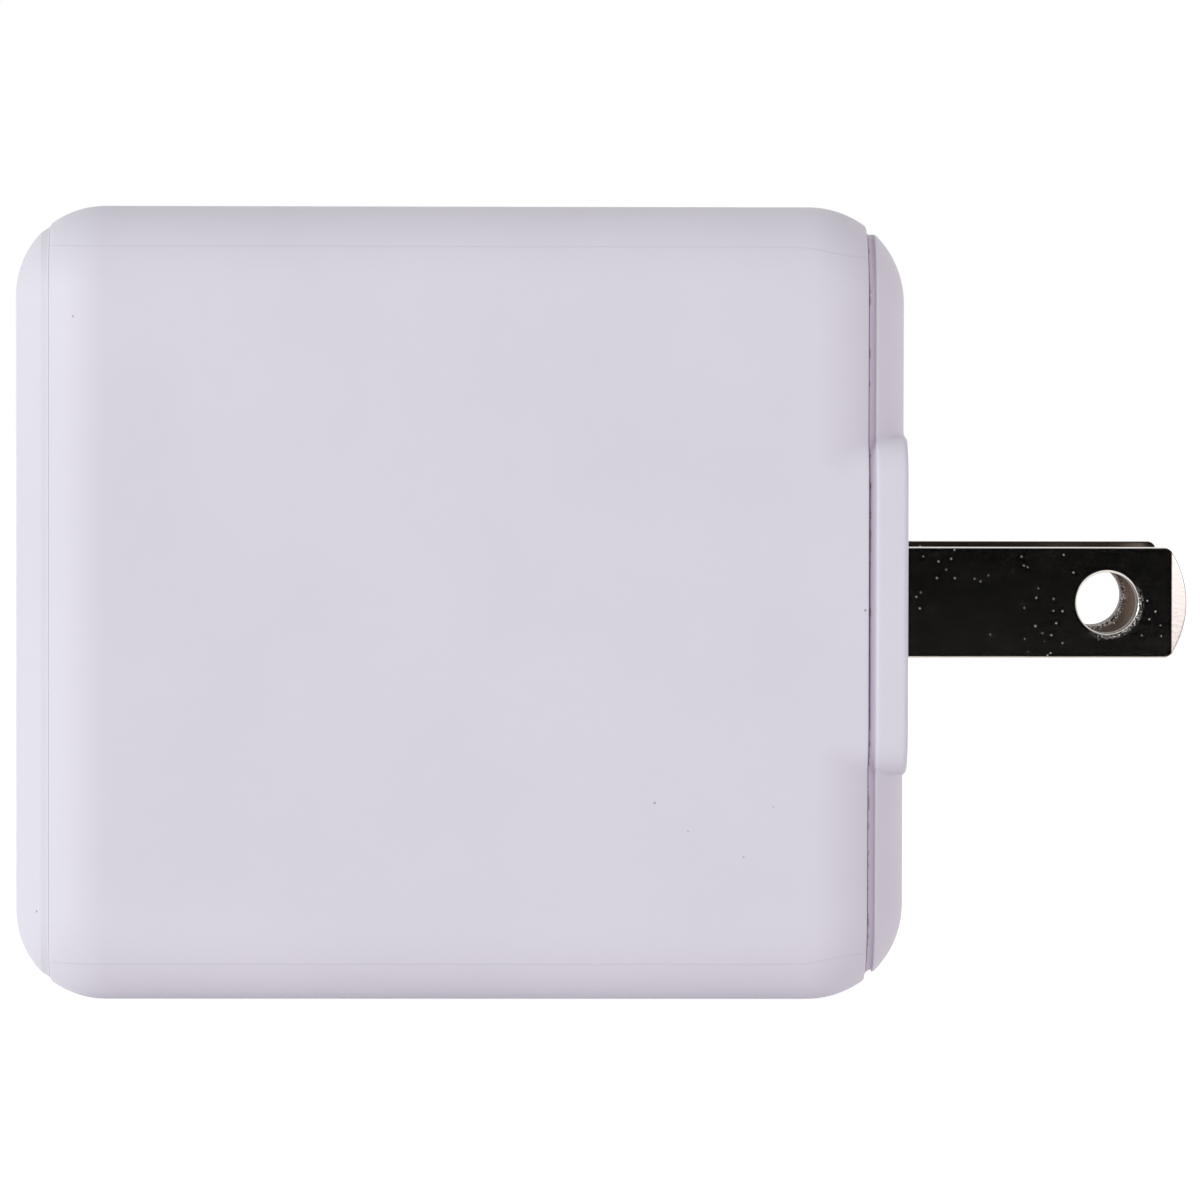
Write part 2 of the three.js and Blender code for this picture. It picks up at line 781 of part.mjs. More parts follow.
function housingGroup() {
  const group = new THREE.Group();
  group.add(piece('sleeve', sleeveBody(), white));
  group.add(piece('port_cap', portCapBody(), white));
  group.add(piece('plug_cap', plugCapBody(), white));
  return group;
}

function plugGroup() {
  const group = new THREE.Group();
  const blades = [['near', -1], ['far', 1]];
  for (const [label, side] of blades) {
    const blade = piece(`blade_${label}`, bladeBody(), nickel);
    group.add(placed(blade, 0, side * bladeSpacing / 2, 0));
    const contact = piece(`contact_${label}`, contactBody(side), brass);
    group.add(placed(contact, 0, 0, side * (contactWidth + contactGap) / 2));
  }
  group.add(piece('blade_retainer', retainerBody(), innerWhite));
  return group;
}

function portGroup() {
  const group = new THREE.Group();
  group.add(piece('port_board', portBoardBody(), boardGreen));
  group.add(piece('usb_c_shell', receptacleShellBody(), steel));
  group.add(piece('usb_c_tongue', receptacleTongueBody(), blackPlastic));
  return group;
}

// Hangs a part that was built upwards from its foot on the component side of the board
function hung(mesh, inset, z) {
  mesh.rotation.x = Math.PI;
  return placed(mesh, boardFront - inset, seatLevel, z);
}

function mainsGroup() {
  const group = new THREE.Group();
  const fuseMesh = piece('fuse', fuseBody(), glass);
  fuseMesh.rotation.x = Math.PI / 2;
  const upper = contactWidth + contactGap + rowGap;
  group.add(placed(
    fuseMesh,
    boardFront - rowOne() - fuse.capRadius,
    seatLevel - fuse.capRadius,
    upper + fuse.length / 2,
  ));
  group.add(placed(
    piece('varistor', discBody(varistor), blueEpoxy),
    boardFront - rowOne() - varistor.thickness / 2,
    seatLevel - varistor.radius,
    -upper - varistor.radius,
  ));
  group.add(placed(
    piece('suppression_capacitor', filmCapacitorBody(), yellowCase),
    boardFront - rowTwo() - filmCapacitor.depth / 2,
    seatLevel - filmCapacitor.height / 2,
    upper + filmCapacitor.width / 2,
  ));
  const chokeInset = rowTwo() + lineChoke.radius;
  const chokeZ = -upper - lineChoke.radius;
  group.add(hung(piece('line_choke_core', drumBody(lineChoke), ferrite), chokeInset, chokeZ));
  group.add(hung(piece('line_choke_winding', drumWindingBody(lineChoke), copper), chokeInset, chokeZ));
  const labels = ['inner', 'outer'];
  labels.forEach((label, index) => {
    const can = piece(`bulk_capacitor_${label}`, canBody(bulkCapacitor), canSleeve);
    const z = rowGap + bulkCapacitor.radius + index * (2 * bulkCapacitor.radius + rowGap);
    group.add(hung(can, rowThree() + bulkCapacitor.radius, -z));
  });
  return group;
}

function transformerGroup() {
  const group = new THREE.Group();
  const upperHalf = piece('transformer_core_upper', coreHalfBody(), ferrite);
  const lowerHalf = piece('transformer_core_lower', coreHalfBody(), ferrite);
  lowerHalf.rotation.x = Math.PI;
  group.add(upperHalf);
  group.add(lowerHalf);
  group.add(piece('transformer_bobbin', bobbinBody(), blackPlastic));
  group.add(piece('transformer_winding', windingBody(), yellowTape));
  const inset = rowTwo() + filmCapacitor.depth + rowGap + transformer.width / 2;
  const x = boardFront - inset;
  const y = seatLevel - windingDepth() / 2;
  group.position.set(x, y, rowGap + transformer.length / 2);
  return group;
}

function outputGroup() {
  const group = new THREE.Group();
  const labels = ['inner', 'outer'];
  labels.forEach((label, index) => {
    const can = piece(`output_capacitor_${label}`, canBody(outputCapacitor), aluminium);
    const z = rowGap + outputCapacitor.radius + index * (2 * outputCapacitor.radius + rowGap);
    group.add(hung(can, rowFour() + outputCapacitor.radius, -z));
  });
  const chokeInset = rowFour() + outputChoke.radius;
  const chokeZ = -(2 * rowGap + 4 * outputCapacitor.radius + rowGap + outputChoke.radius);
  group.add(hung(piece('output_choke_core', drumBody(outputChoke), ferrite), chokeInset, chokeZ));
  group.add(hung(
    piece('output_choke_winding', drumWindingBody(outputChoke), copper),
    chokeInset,
    chokeZ,
  ));
  const filmEnd = rowTwo() + filmCapacitor.depth + rowGap;
  group.add(placed(
    piece('safety_capacitor', discBody(safetyCapacitor), blueEpoxy),
    boardFront - filmEnd - transformer.width - rowGap - safetyCapacitor.thickness / 2,
    seatLevel - safetyCapacitor.radius,
    rowGap + safetyCapacitor.radius,
  ));
  return group;
}

// Flat packages on the solder side, with a pad and a spreader between the switch and the sleeve
function solderSideGroup() {
  const group = new THREE.Group();
  const level = boardBack + seatGap;
  const packages = [
    ['bridge_rectifier', bridge, bridgePlaceShares],
    ['power_switch', powerSwitch, powerSwitchPlaceShares],
    ['controller_chip', controller, controllerPlaceShares],
    ['rectifier_chip', rectifier, rectifierPlaceShares],
  ];
  for (const [name, size, [lengthShare, heightShare]] of packages) {
    const chip = piece(name, chipBody(size), blackPlastic);
    group.add(placed(chip, boardFront - boardLength * lengthShare, level, boardHeight * heightShare));
  }
  const [padLengthShare, padHeightShare] = powerSwitchPlaceShares;
  const padLow = level + powerSwitch.height + seatGap / 2;
  const spreaderY = cavityThickness / 2 - seatGap - spreaderThickness / 2;
  const padHigh = spreaderY - spreaderThickness / 2 - seatGap / 2;
  const padX = powerSwitch.depth / 2;
  const padZ = powerSwitch.width / 2;
  group.add(placed(
    piece('thermal_pad', block([-padX, padLow, -padZ], [padX, padHigh, padZ]), softPad),
    boardFront - boardLength * padLengthShare,
    0,
    boardHeight * padHeightShare,
  ));
  const spreader = piece('heat_spreader', sheetBody(spreaderThickness, spreaderMargin), aluminium);
  group.add(placed(spreader, 0, spreaderY, 0));
  const sheetY = cavityThickness / 2 - seatGap - sheetThickness / 2;
  const sheet = piece('insulation_sheet', sheetBody(sheetThickness, sheetMargin), clearSheet);
  group.add(placed(sheet, 0, -sheetY, 0));
  return group;
}

function boardGroup() {
  const group = new THREE.Group();
  const board = piece('main_board', mainBoardBody(), boardGreen);
  const middle = (boardFace + boardBack) / 2;
  group.add(placed(board, (boardFront + boardEnd) / 2, middle, 0));
  group.add(mainsGroup());
  group.add(transformerGroup());
  group.add(outputGroup());
  group.add(solderSideGroup());
  return group;
}

const charger = new THREE.Group();
charger.add(housingGroup());
charger.add(plugGroup());
charger.add(portGroup());
charger.add(boardGroup());

export default charger;
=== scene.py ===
"""Looks of a USB wall charger with a fixed two-blade plug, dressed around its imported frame.

Units are metres. +X points out of the plug face, Y runs across the thickness and +Z is up.
"""

import logging
import math
from collections.abc import Callable
from dataclasses import dataclass
from enum import Enum

import bmesh
import bpy
import numpy as np
from mathutils import Matrix, Vector


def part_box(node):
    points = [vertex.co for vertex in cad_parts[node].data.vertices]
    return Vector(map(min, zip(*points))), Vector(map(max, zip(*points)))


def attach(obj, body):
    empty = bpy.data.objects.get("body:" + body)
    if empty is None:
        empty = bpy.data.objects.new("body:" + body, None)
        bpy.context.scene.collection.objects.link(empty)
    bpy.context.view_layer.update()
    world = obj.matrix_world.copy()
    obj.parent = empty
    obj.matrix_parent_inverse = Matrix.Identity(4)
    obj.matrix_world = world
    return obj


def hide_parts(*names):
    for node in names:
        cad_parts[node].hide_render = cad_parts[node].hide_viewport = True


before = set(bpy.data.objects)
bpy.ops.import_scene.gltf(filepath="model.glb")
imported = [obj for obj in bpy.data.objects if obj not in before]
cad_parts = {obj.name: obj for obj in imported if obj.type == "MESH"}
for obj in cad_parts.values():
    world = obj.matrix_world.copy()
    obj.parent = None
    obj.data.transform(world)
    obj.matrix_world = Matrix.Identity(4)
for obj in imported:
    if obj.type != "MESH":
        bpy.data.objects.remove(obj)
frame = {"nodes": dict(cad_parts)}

LOG = logging.getLogger("charger")
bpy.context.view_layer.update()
MM = 0.001
MERGE_DISTANCE = 1e-7
ROOT_BODY = "root"
BLADE_SPACING = 12.7 * MM
HOLE_PLACE = 11.8 * MM

Colour = tuple[float, float, float, float]
Triple = tuple[float, float, float]
Points = np.ndarray
WHITE: Colour = (1.0, 1.0, 1.0, 1.0)
BLACK: Colour = (0.0, 0.0, 0.0, 1.0)


def operator(operation: str, reflected: bool = False) -> Callable[["Signal", "Signal | float"], "Signal"]:
    """Makes the method of one Python operator, which adds a Math node.

    Args:
        operation: The node's operation; a comparison gives 1 or 0.
        reflected: Whether the other value comes first, as in 1 - mask.

    Returns:
        The method.
    """
    def method(own: "Signal", other: "Signal | float") -> "Signal":
        """Returns the operation's result."""
        return own.graph.maths(operation, *((other, own) if reflected else (own, other)))
    return method


class Signal:
    """A node's output that can be used in a Python expression."""

    __add__, __radd__ = operator("ADD"), operator("ADD", reflected=True)
    __sub__, __rsub__ = operator("SUBTRACT"), operator("SUBTRACT", reflected=True)
    __mul__, __rmul__ = operator("MULTIPLY"), operator("MULTIPLY", reflected=True)
    __lt__, __gt__ = operator("LESS_THAN"), operator("GREATER_THAN")

    def __init__(self, graph: "Graph", socket: bpy.types.NodeSocket) -> None:
        """Wraps one output socket of a graph."""
        self.graph = graph
        self.socket = socket

    def __abs__(self) -> "Signal":
        """Returns the size of this value without its sign."""
        return self.graph.maths("ABSOLUTE", self)

    def ramp(self, low: float, high: float) -> "Signal":
        """Returns a smooth step of this value, from 0 at low to 1 at high."""
        sockets = {"Value": self, "From Min": low, "From Max": high}
        return self.graph.signal("ShaderNodeMapRange", sockets, interpolation_type="SMOOTHSTEP")


class Graph:
    """The node tree of a material, of the world or of a Geometry Nodes recipe."""

    def __init__(self, tree: bpy.types.NodeTree) -> None:
        """Starts with an empty tree."""
        self.tree = tree
        tree.nodes.clear()

    def node(self, kind: str, sockets: dict | None = None, **settings: object) -> bpy.types.Node:
        """Makes one node.

        Args:
            kind: The node's type.
            sockets: Values or signals of its inputs, by name or number.
            **settings: Its properties, set first.

        Returns:
            The new node.
        """
        made = self.tree.nodes.new(kind)
        for name, value in settings.items():
            setattr(made, name, value)
        for key, value in (sockets or {}).items():
            if isinstance(value, Signal):
                self.tree.links.new(value.socket, made.inputs[key])
            else:
                made.inputs[key].default_value = value
        return made

    def signal(self, kind: str, sockets: dict | None = None, output: str | int = 0,
               **settings: object) -> Signal:
        """Makes one node and returns one of its outputs."""
        return Signal(self, self.node(kind, sockets, **settings).outputs[output])

    def maths(self, operation: str, *values: Signal | float) -> Signal:
        """Adds a Math node and returns its result."""
        return self.signal("ShaderNodeMath", dict(enumerate(values)), operation=operation)

    def place(self, scale: Triple = (1, 1, 1)) -> Signal:
        """Returns the piece's own coordinates, stretched by a scale."""
        place = self.signal("ShaderNodeTexCoord", output="Object")
        return self.signal("ShaderNodeMapping", {"Vector": place, "Scale": scale})

    def split(self, vector: Signal) -> tuple[Signal, Signal, Signal]:
        """Returns the X, Y and Z of a vector."""
        parts = self.node("ShaderNodeSeparateXYZ", {"Vector": vector})
        return tuple(Signal(self, parts.outputs[axis]) for axis in "XYZ")

    def noise(self, scale: float, detail: float = 2.0, stretch: Triple = (1, 1, 1)) -> Signal:
        """Returns clouds of values about one half, given as clouds to the metre and octaves."""
        sockets = {"Vector": self.place(stretch), "Scale": scale, "Detail": detail}
        return self.signal("ShaderNodeTexNoise", sockets)

    def specks(self, scale: float, radius: float, soft: float) -> Signal:
        """Returns 1 inside scattered dots of a radius and a soft rim, given as dots to the metre."""
        reach = self.signal("ShaderNodeTexVoronoi", {"Vector": self.place(), "Scale": scale}, feature="F1")
        return 1 - reach.ramp(radius * scale, (radius + soft) * scale)

    def blend(self, factor: Signal | float, first: Signal | Colour, second: Signal | Colour) -> Signal:
        """Mixes two colours by a factor, 0 for the first and 1 for the second."""
        return self.signal("ShaderNodeMix", {0: factor, 6: first, 7: second}, 2, data_type="RGBA")

    def bump(self, height: Signal, depth: float, under: Signal | None = None) -> Signal:
        """Returns the normal of a height that stands up by a depth, built on another normal."""
        sockets = {"Height": height, "Distance": depth, "Strength": 1.0}
        return self.signal("ShaderNodeBump", sockets if under is None else {**sockets, "Normal": under})

    def seen(self) -> Signal:
        """Marks the rays that show the surroundings: from the camera, in gloss and through glass.

        Returns:
            1 for those rays, or 0.
        """
        path = self.node("ShaderNodeLightPath")
        rays = ("Is Camera Ray", "Is Glossy Ray", "Is Transmission Ray")
        camera, gloss, through = (Signal(self, path.outputs[name]) for name in rays)
        return self.signal("ShaderNodeClamp", {"Value": camera + gloss + through})


def shade(red: float, green: float, blue: float) -> Colour:
    """Turns a colour written in 8-bit sRGB into a linear one with full alpha."""
    parts = [value / 255 for value in (red, green, blue)]
    return (*(part / 12.92 if part <= 0.04045 else ((part + 0.055) / 1.055) ** 2.4 for part in parts), 1.0)


def scaled(colour: Colour, share: float) -> Colour:
    """Returns a colour made darker, or lighter up to full."""
    return (*(min(part * share, 1.0) for part in colour[:3]), 1.0)


@dataclass(frozen=True)
class Finish:
    """A finish that makes one material."""

    name: str
    colour: Colour

    def material(self) -> bpy.types.Material:
        """Makes the finish's material, made once.

        Returns:
            The material.
        """
        found = bpy.data.materials.get(self.name)
        if found is None:
            found = bpy.data.materials.new(self.name)
            found.use_nodes = True
            graph = Graph(found.node_tree)
            graph.node("ShaderNodeOutputMaterial", {"Surface": self.surface(graph)})
        return found

    def surface(self, graph: Graph) -> Signal:
        """Returns the finish's shader."""
        return graph.signal("ShaderNodeBsdfPrincipled", self.sockets(graph))

    def sockets(self, graph: Graph) -> dict:
        """Returns the shader's inputs by name; each kind of finish gives its own."""
        return {"Base Color": self.colour}


@dataclass(frozen=True)
class SeamShade:
    """Painted shade in a sunk seam between two planes across X."""

    low: float
    high: float
    share: float
    colour: Colour


@dataclass(frozen=True)
class MouldedShell(Finish):
    """White matte plastic with a fine spark grain, rare specks, faint mould witness lines and painted shade
    in its sunk seams.
    """

    roughness: float = 0.5
    gloss_spread: float = 0.16
    cloud_shade: float = 0.975
    grain: float = 5200.0
    grain_depth: float = 0.0045 * MM
    swell: float = 260.0
    swell_depth: float = 0.005 * MM
    speck_colour: Colour = shade(140, 132, 140)
    speck_share: float = 0.75
    witness_height: float = 20.4 * MM
    witness_width: float = 0.07 * MM
    witness_depth: float = 0.012 * MM
    witness_share: float = 0.10
    witness_drop: float = 0.57 * MM
    witness_drop_start: float = -6.5 * MM
    witness_drop_end: float = -2.4 * MM
    sleeve_front: float = -2.3 * MM
    sleeve_back: float = -48.8 * MM
    # Painted shade in the sunk seams at the plug end and at the port end.
    plug_seam_shade: SeamShade = SeamShade(-2.25 * MM, -1.84 * MM, 0.7, shade(196, 182, 200))
    port_seam_shade: SeamShade = SeamShade(-49.32 * MM, -48.98 * MM, 0.2, shade(192, 190, 200))
    # Darker flecks in a narrow strip along the sleeve's side of the plug seam.
    crevice_width: float = 0.13 * MM
    fleck_share: float = 0.6
    fleck_colour: Colour = shade(128, 114, 124)

    def sockets(self, graph: Graph) -> dict:
        """Makes the surface's inputs.

        Args:
            graph: The material's node graph.

        Returns:
            Values and signals by input name.
        """
        fine = graph.noise(self.grain, 2)
        wide = graph.noise(self.swell, 1)
        dots = graph.specks(430, 0.045 * MM, 0.05 * MM) * graph.noise(37, 1).ramp(0.45, 0.55)
        clouds = graph.noise(90, 3).ramp(0.3, 0.7)
        colour = graph.blend(clouds, self.colour, scaled(self.colour, self.cloud_shade))
        colour = graph.blend(dots * self.speck_share, colour, self.speck_colour)
        x, _, z = graph.split(graph.place())
        drop = x.ramp(self.witness_drop_start, self.witness_drop_end) * self.witness_drop
        off = abs(abs(z) + drop - self.witness_height)
        line = (1 - off.ramp(0.0, self.witness_width)) * (x < self.sleeve_front) * (x > self.sleeve_back)
        colour = graph.blend(line * self.witness_share, colour, self.speck_colour)
        # Painted shade: each sunk seam's band is blended towards its darker colour.
        for seam in (self.plug_seam_shade, self.port_seam_shade):
            colour = graph.blend((x > seam.low) * (x < seam.high) * seam.share, colour, seam.colour)
        # Darker flecks in a narrow strip along the sleeve's side of the plug seam.
        crevice = (x > self.plug_seam_shade.low) * (x < self.plug_seam_shade.low + self.crevice_width)
        crevice_flecks = graph.noise(1500, 3).ramp(0.52, 0.62)
        colour = graph.blend(crevice * crevice_flecks * self.fleck_share, colour, self.fleck_colour)
        normal = graph.bump(wide, self.swell_depth)
        normal = graph.bump(fine, self.grain_depth, normal)
        normal = graph.bump(line, self.witness_depth, normal)
        return {
            "Base Color": colour,
            "Roughness": self.roughness + (fine - 0.5) * self.gloss_spread,
            "IOR": 1.46,
            "Specular IOR Level": 0.3,
            "Normal": normal,
        }


@dataclass(frozen=True)
class PlatedMetal(Finish):
    """Bright plate over drawn strip: lengthwise streaks, small pits and uneven gloss."""

    roughness: float = 0.2
    streak: float = 0.08
    pits: float = 0.35
    pit_scale: float = 900.0
    pit_radius: float = 0.022 * MM
    pit_depth: float = 0.016 * MM
    pit_roughness: float = 0.3
    dull_shade: float = 0.88
    along: Triple = (0.06, 1.0, 1.0)

    def sockets(self, graph: Graph) -> dict:
        """Makes the surface's inputs.

        Args:
            graph: The material's node graph.

        Returns:
            Values and signals by input name.
        """
        drawn = graph.noise(5200, 3, self.along)
        clouds = graph.noise(420, 4)
        rare = graph.noise(300, 1).ramp(0.48, 0.62)
        pitted = graph.specks(self.pit_scale, self.pit_radius, self.pit_radius) * rare * self.pits
        normal = graph.bump(drawn, 0.0012 * MM)
        normal = graph.bump(clouds, 0.002 * MM, normal)
        dull = scaled(self.colour, self.dull_shade)
        return {
            "Base Color": graph.blend(clouds.ramp(0.35, 0.75), self.colour, dull),
            "Metallic": 1.0,
            "Roughness": self.roughness + (drawn - 0.5) * self.streak + pitted * self.pit_roughness,
            "Normal": graph.bump(1 - pitted, self.pit_depth, normal),
        }


@dataclass(frozen=True)
class BladeMetal(PlatedMetal):
    """Plated blade with lint on its faces, a frayed rim with a painted glint on its lower right, painted
    shade on its narrow sides and inner faces, a stained bore and darker lines on its tip.
    """

    bore_radius: float = 1.765 * MM
    bore_roughness: float = 0.25
    rim_radius: float = 1.88 * MM
    rim_reach: float = 0.3 * MM
    tip_line: float = 15.5 * MM
    tip_line_width: float = 0.07 * MM
    tip_centre: float = 11.0 * MM
    tip_edge: float = 5.35 * MM
    # Painted shade on the inner faces and the narrow sides: where they start and their darker colours.
    shaded_inner_face: float = 5.64 * MM
    shaded_narrow_side: float = 3.14 * MM
    # Lint specks, and a painted glint on the hole's rim: their share, roughness and colour.
    lint_and_glint_share: float = 0.75
    lint_and_glint_roughness: float = 0.4
    tip_share: float = 0.9
    line_share: float = 0.85
    edge_share: float = 0.6
    lint_and_glint_colour: Colour = shade(205, 200, 192)
    stain_colour: Colour = shade(80, 65, 54)
    inner_shade_colour: Colour = shade(160, 152, 144)
    side_shade_colour: Colour = shade(182, 176, 170)
    tip_colour: Colour = shade(233, 223, 218)

    def sockets(self, graph: Graph) -> dict:
        """Makes the surface's inputs.

        Args:
            graph: The material's node graph.

        Returns:
            Values and signals by input name.
        """
        found = super().sockets(graph)
        x, y, z = graph.split(graph.place())
        along = x - HOLE_PLACE
        radius = graph.maths("SQRT", along * along + z * z)
        fine = graph.noise(9000, 2)
        lint = graph.specks(2000, 0.025 * MM, 0.035 * MM) * graph.noise(260, 1).ramp(0.42, 0.56)
        # A burr round the hole's rim, with a painted glint on its lower right side.
        glint_side = (along - z).ramp(0.2 * MM, 2.4 * MM)
        burr_glint = (1 - radius.ramp(self.rim_radius, self.rim_radius + self.rim_reach)) * glint_side
        burr_glint = burr_glint * (radius > self.bore_radius) * fine.ramp(0.46, 0.62)
        lint_and_glint = graph.maths("MAXIMUM", lint, burr_glint) * self.lint_and_glint_share
        bore = radius < self.bore_radius
        # Darker lines where the tip's bevel starts and along the bevelled tip's rounded edge.
        wavy = x - self.tip_line + (fine - 0.5) * self.tip_line_width
        dark_tip_lines = 1 - abs(wavy).ramp(0.0, self.tip_line_width)
        past = x - self.tip_centre
        edge = (graph.maths("SQRT", past * past + z * z) > self.tip_edge) * (x > self.tip_line)
        dark_tip_lines = graph.maths("MAXIMUM", dark_tip_lines * self.line_share, edge * self.edge_share)
        colour = found["Base Color"]
        for mask, tint in (
            # Painted shade: the narrow sides and the inner faces, which look at each other, get darker
            # colours.
            (abs(z) > self.shaded_narrow_side, self.side_shade_colour),
            (abs(y) < self.shaded_inner_face, self.inner_shade_colour),
            ((x > self.tip_line) * self.tip_share, self.tip_colour),
            (bore, self.stain_colour),
            (dark_tip_lines, self.stain_colour),
            # Lint specks, and the painted glint on the hole's rim.
            (lint_and_glint, self.lint_and_glint_colour),
        ):
            colour = graph.blend(mask, colour, tint)
        found["Base Color"] = colour
        found["Metallic"] = 1 - lint_and_glint
        found["Roughness"] += bore * self.bore_roughness + lint_and_glint * self.lint_and_glint_roughness
        return found


@dataclass(frozen=True)
class PlainPlastic(Finish):
    """Moulded or dipped plastic with a slight swell and uneven gloss."""

    roughness: float = 0.45
    swell: float = 700.0
    swell_depth: float = 0.012 * MM
    coat: float = 0.0

    def sockets(self, graph: Graph) -> dict:
        """Makes the surface's inputs.

        Args:
            graph: The material's node graph.

        Returns:
            Values and signals by input name.
        """
        wide = graph.noise(self.swell, 2)
        fine = graph.noise(6000, 2)
        return {
            "Base Color": graph.blend(wide.ramp(0.3, 0.75), self.colour, scaled(self.colour, 0.85)),
            "Roughness": self.roughness + (fine - 0.5) * 0.15,
            "Coat Weight": self.coat,
            "Normal": graph.bump(fine, 0.003 * MM, graph.bump(wide, self.swell_depth)),
        }


@dataclass(frozen=True)
class Laminate(Finish):
    """Solder mask over a woven glass board, with the weave showing faintly through."""

    weave: float = 0.6 * MM

    def sockets(self, graph: Graph) -> dict:
        """Makes the surface's inputs.

        Args:
            graph: The material's node graph.

        Returns:
            Values and signals by input name.
        """
        sockets = {"Vector": graph.place(), "Scale": 1 / self.weave}
        across = graph.signal("ShaderNodeTexWave", sockets, 1, bands_direction="X")
        weave = across * graph.signal("ShaderNodeTexWave", sockets, 1, bands_direction="Z")
        return {
            "Base Color": graph.blend(weave * 0.5, self.colour, scaled(self.colour, 1.35)),
            "Roughness": 0.32 + weave * 0.12,
            "Coat Weight": 0.3,
            "Normal": graph.bump(weave, 0.006 * MM),
        }


@dataclass(frozen=True)
class WoundWire(Finish):
    """Enamelled copper wire."""

    roughness: float = 0.25

    def sockets(self, graph: Graph) -> dict:
        """Makes the surface's inputs.

        Args:
            graph: The material's node graph.

        Returns:
            Values and signals by input name.
        """
        clouds = graph.noise(900, 2)
        return {
            "Base Color": graph.blend(clouds.ramp(0.35, 0.7), self.colour, scaled(self.colour, 0.7)),
            "Metallic": 0.85,
            "Roughness": self.roughness + (clouds - 0.5) * 0.1,
            "Coat Weight": 0.6,
            "Normal": graph.bump(clouds, 0.004 * MM),
        }


class Sheen(float, Enum):
    """Roughness of the small moulded and dipped parts."""

    MATTE = 0.55
    SATIN = 0.38
    GLOSSY = 0.2


class Change(Enum):
    """How a tool mesh changes a piece."""

    JOIN = "UNION"
    CUT = "DIFFERENCE"


def add_object(name: str, data: bpy.types.ID) -> bpy.types.Object:
    """Makes a new object of the scene, at the origin.

    Args:
        name: Its name.
        data: Its mesh, camera or lamp.

    Returns:
        The object.
    """
    made = bpy.data.objects.new(name, data)
    bpy.context.scene.collection.objects.link(made)
    return made


class FormMesh:
    """Collects points and faces of one closed form."""

    def __init__(self) -> None:
        """Starts empty."""
        self.mesh = bmesh.new()

    def loft(self, rows: list[Points], closed: bool = True, looped: bool = False) -> list:
        """Joins rows of points one after another by quads.

        Args:
            rows: Rows of equal length.
            closed: Whether each row closes on itself.
            looped: Whether the last row joins the first.

        Returns:
            The first and the last row's vertices.
        """
        made = [[self.mesh.verts.new(point) for point in row] for row in rows]
        for first, second in zip(made, made[1:] + made[:1] if looped else made[1:]):
            quads = list(zip(first, first[1:], second[1:], second))
            if closed:
                quads.append((first[-1], first[0], second[0], second[-1]))
            for quad in quads:
                self.mesh.faces.new(quad)
        return [made[0], made[-1]]

    def fill(self, *loops: list) -> None:
        """Closes the flat area between loops of vertices by triangles.

        Args:
            *loops: The loops.
        """
        edges = []
        for loop in loops:
            for pair in zip(loop, loop[1:] + loop[:1]):
                edges.append(self.mesh.edges.get(pair) or self.mesh.edges.new(pair))
        bmesh.ops.triangle_fill(self.mesh, use_beauty=True, edges=edges)

    def cut(self, place: float) -> None:
        """Gives the mesh a line of edges across X at a place."""
        everything = self.mesh.verts[:] + self.mesh.edges[:] + self.mesh.faces[:]
        bmesh.ops.bisect_plane(self.mesh, geom=everything, plane_co=(place, 0, 0), plane_no=(1, 0, 0))

    def finish(self, name: str, smooth_angle: float = math.radians(28)) -> bpy.types.Object:
        """Closes the form and makes its object.

        Args:
            name: The piece's name.
            smooth_angle: Edges sharper than this angle stay hard.

        Returns:
            The object.
        """
        bmesh.ops.remove_doubles(self.mesh, verts=self.mesh.verts, dist=MERGE_DISTANCE)
        bmesh.ops.dissolve_degenerate(self.mesh, edges=self.mesh.edges, dist=MERGE_DISTANCE)
        bmesh.ops.recalc_face_normals(self.mesh, faces=self.mesh.faces)
        data = bpy.data.meshes.new(name)
        self.mesh.to_mesh(data)
        self.mesh.free()
        made = add_object(name, data)
        smooth(made, smooth_angle)
        return made


def solid(rows: list[Points], name: str = "tool") -> bpy.types.Object:
    """Makes a closed form through rows of points, with flat ends.

    Args:
        rows: The rows.
        name: The form's name.

    Returns:
        The form.
    """
    mesh = FormMesh()
    for row in mesh.loft(rows):
        mesh.fill(row)
    return mesh.finish(name)


def smooth(piece: bpy.types.Object, angle: float) -> None:
    """Shades a piece smoothly, with its sharp edges and its flat faces kept.

    Args:
        piece: The piece.
        angle: Edges sharper than this angle stay hard.
    """
    piece.data.shade_smooth()
    piece.data.set_sharp_from_angle(angle=angle)
    piece.modifiers.new("Flat faces", "WEIGHTED_NORMAL").keep_sharp = True
    settle(piece)


def dress(piece: bpy.types.Object, finish: Finish, slot: str, *stands_for: str) -> None:
    """Gives a new piece its finish and its place in the frame.

    Args:
        piece: The new piece.
        finish: Its finish.
        slot: The record's material slot; not used.
        *stands_for: The frame's nodes that it replaces.
    """
    if not piece.data.materials:
        piece.data.materials.append(finish.material())
    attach(piece, ROOT_BODY)
    if stands_for:
        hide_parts(*stands_for)
    LOG.info("%s: %d points", piece.name, len(piece.data.vertices))


def combine(piece: bpy.types.Object, tool: bpy.types.Object, change: Change) -> None:
    """Joins or cuts a piece with a tool mesh, which is then removed.

    Args:
        piece: The piece to change.
        tool: The mesh to add or take away.
        change: Which of the two.
    """
    modifier = piece.modifiers.new(change.name, "BOOLEAN")
    modifier.operation = change.value
    modifier.object = tool
    modifier.solver = "EXACT"
    settle(piece)
    bpy.data.objects.remove(tool)


def settle(piece: bpy.types.Object) -> None:
    """Turns a piece's modifiers into plain mesh.

    Args:
        piece: The piece.
    """
    graph = bpy.context.evaluated_depsgraph_get()
    evaluated = piece.evaluated_get(graph)
    result = bpy.data.meshes.new_from_object(evaluated, preserve_all_data_layers=True, depsgraph=graph)
    piece.modifiers.clear()
    old = piece.data
    piece.data = result
    result.name = old.name
    bpy.data.meshes.remove(old)


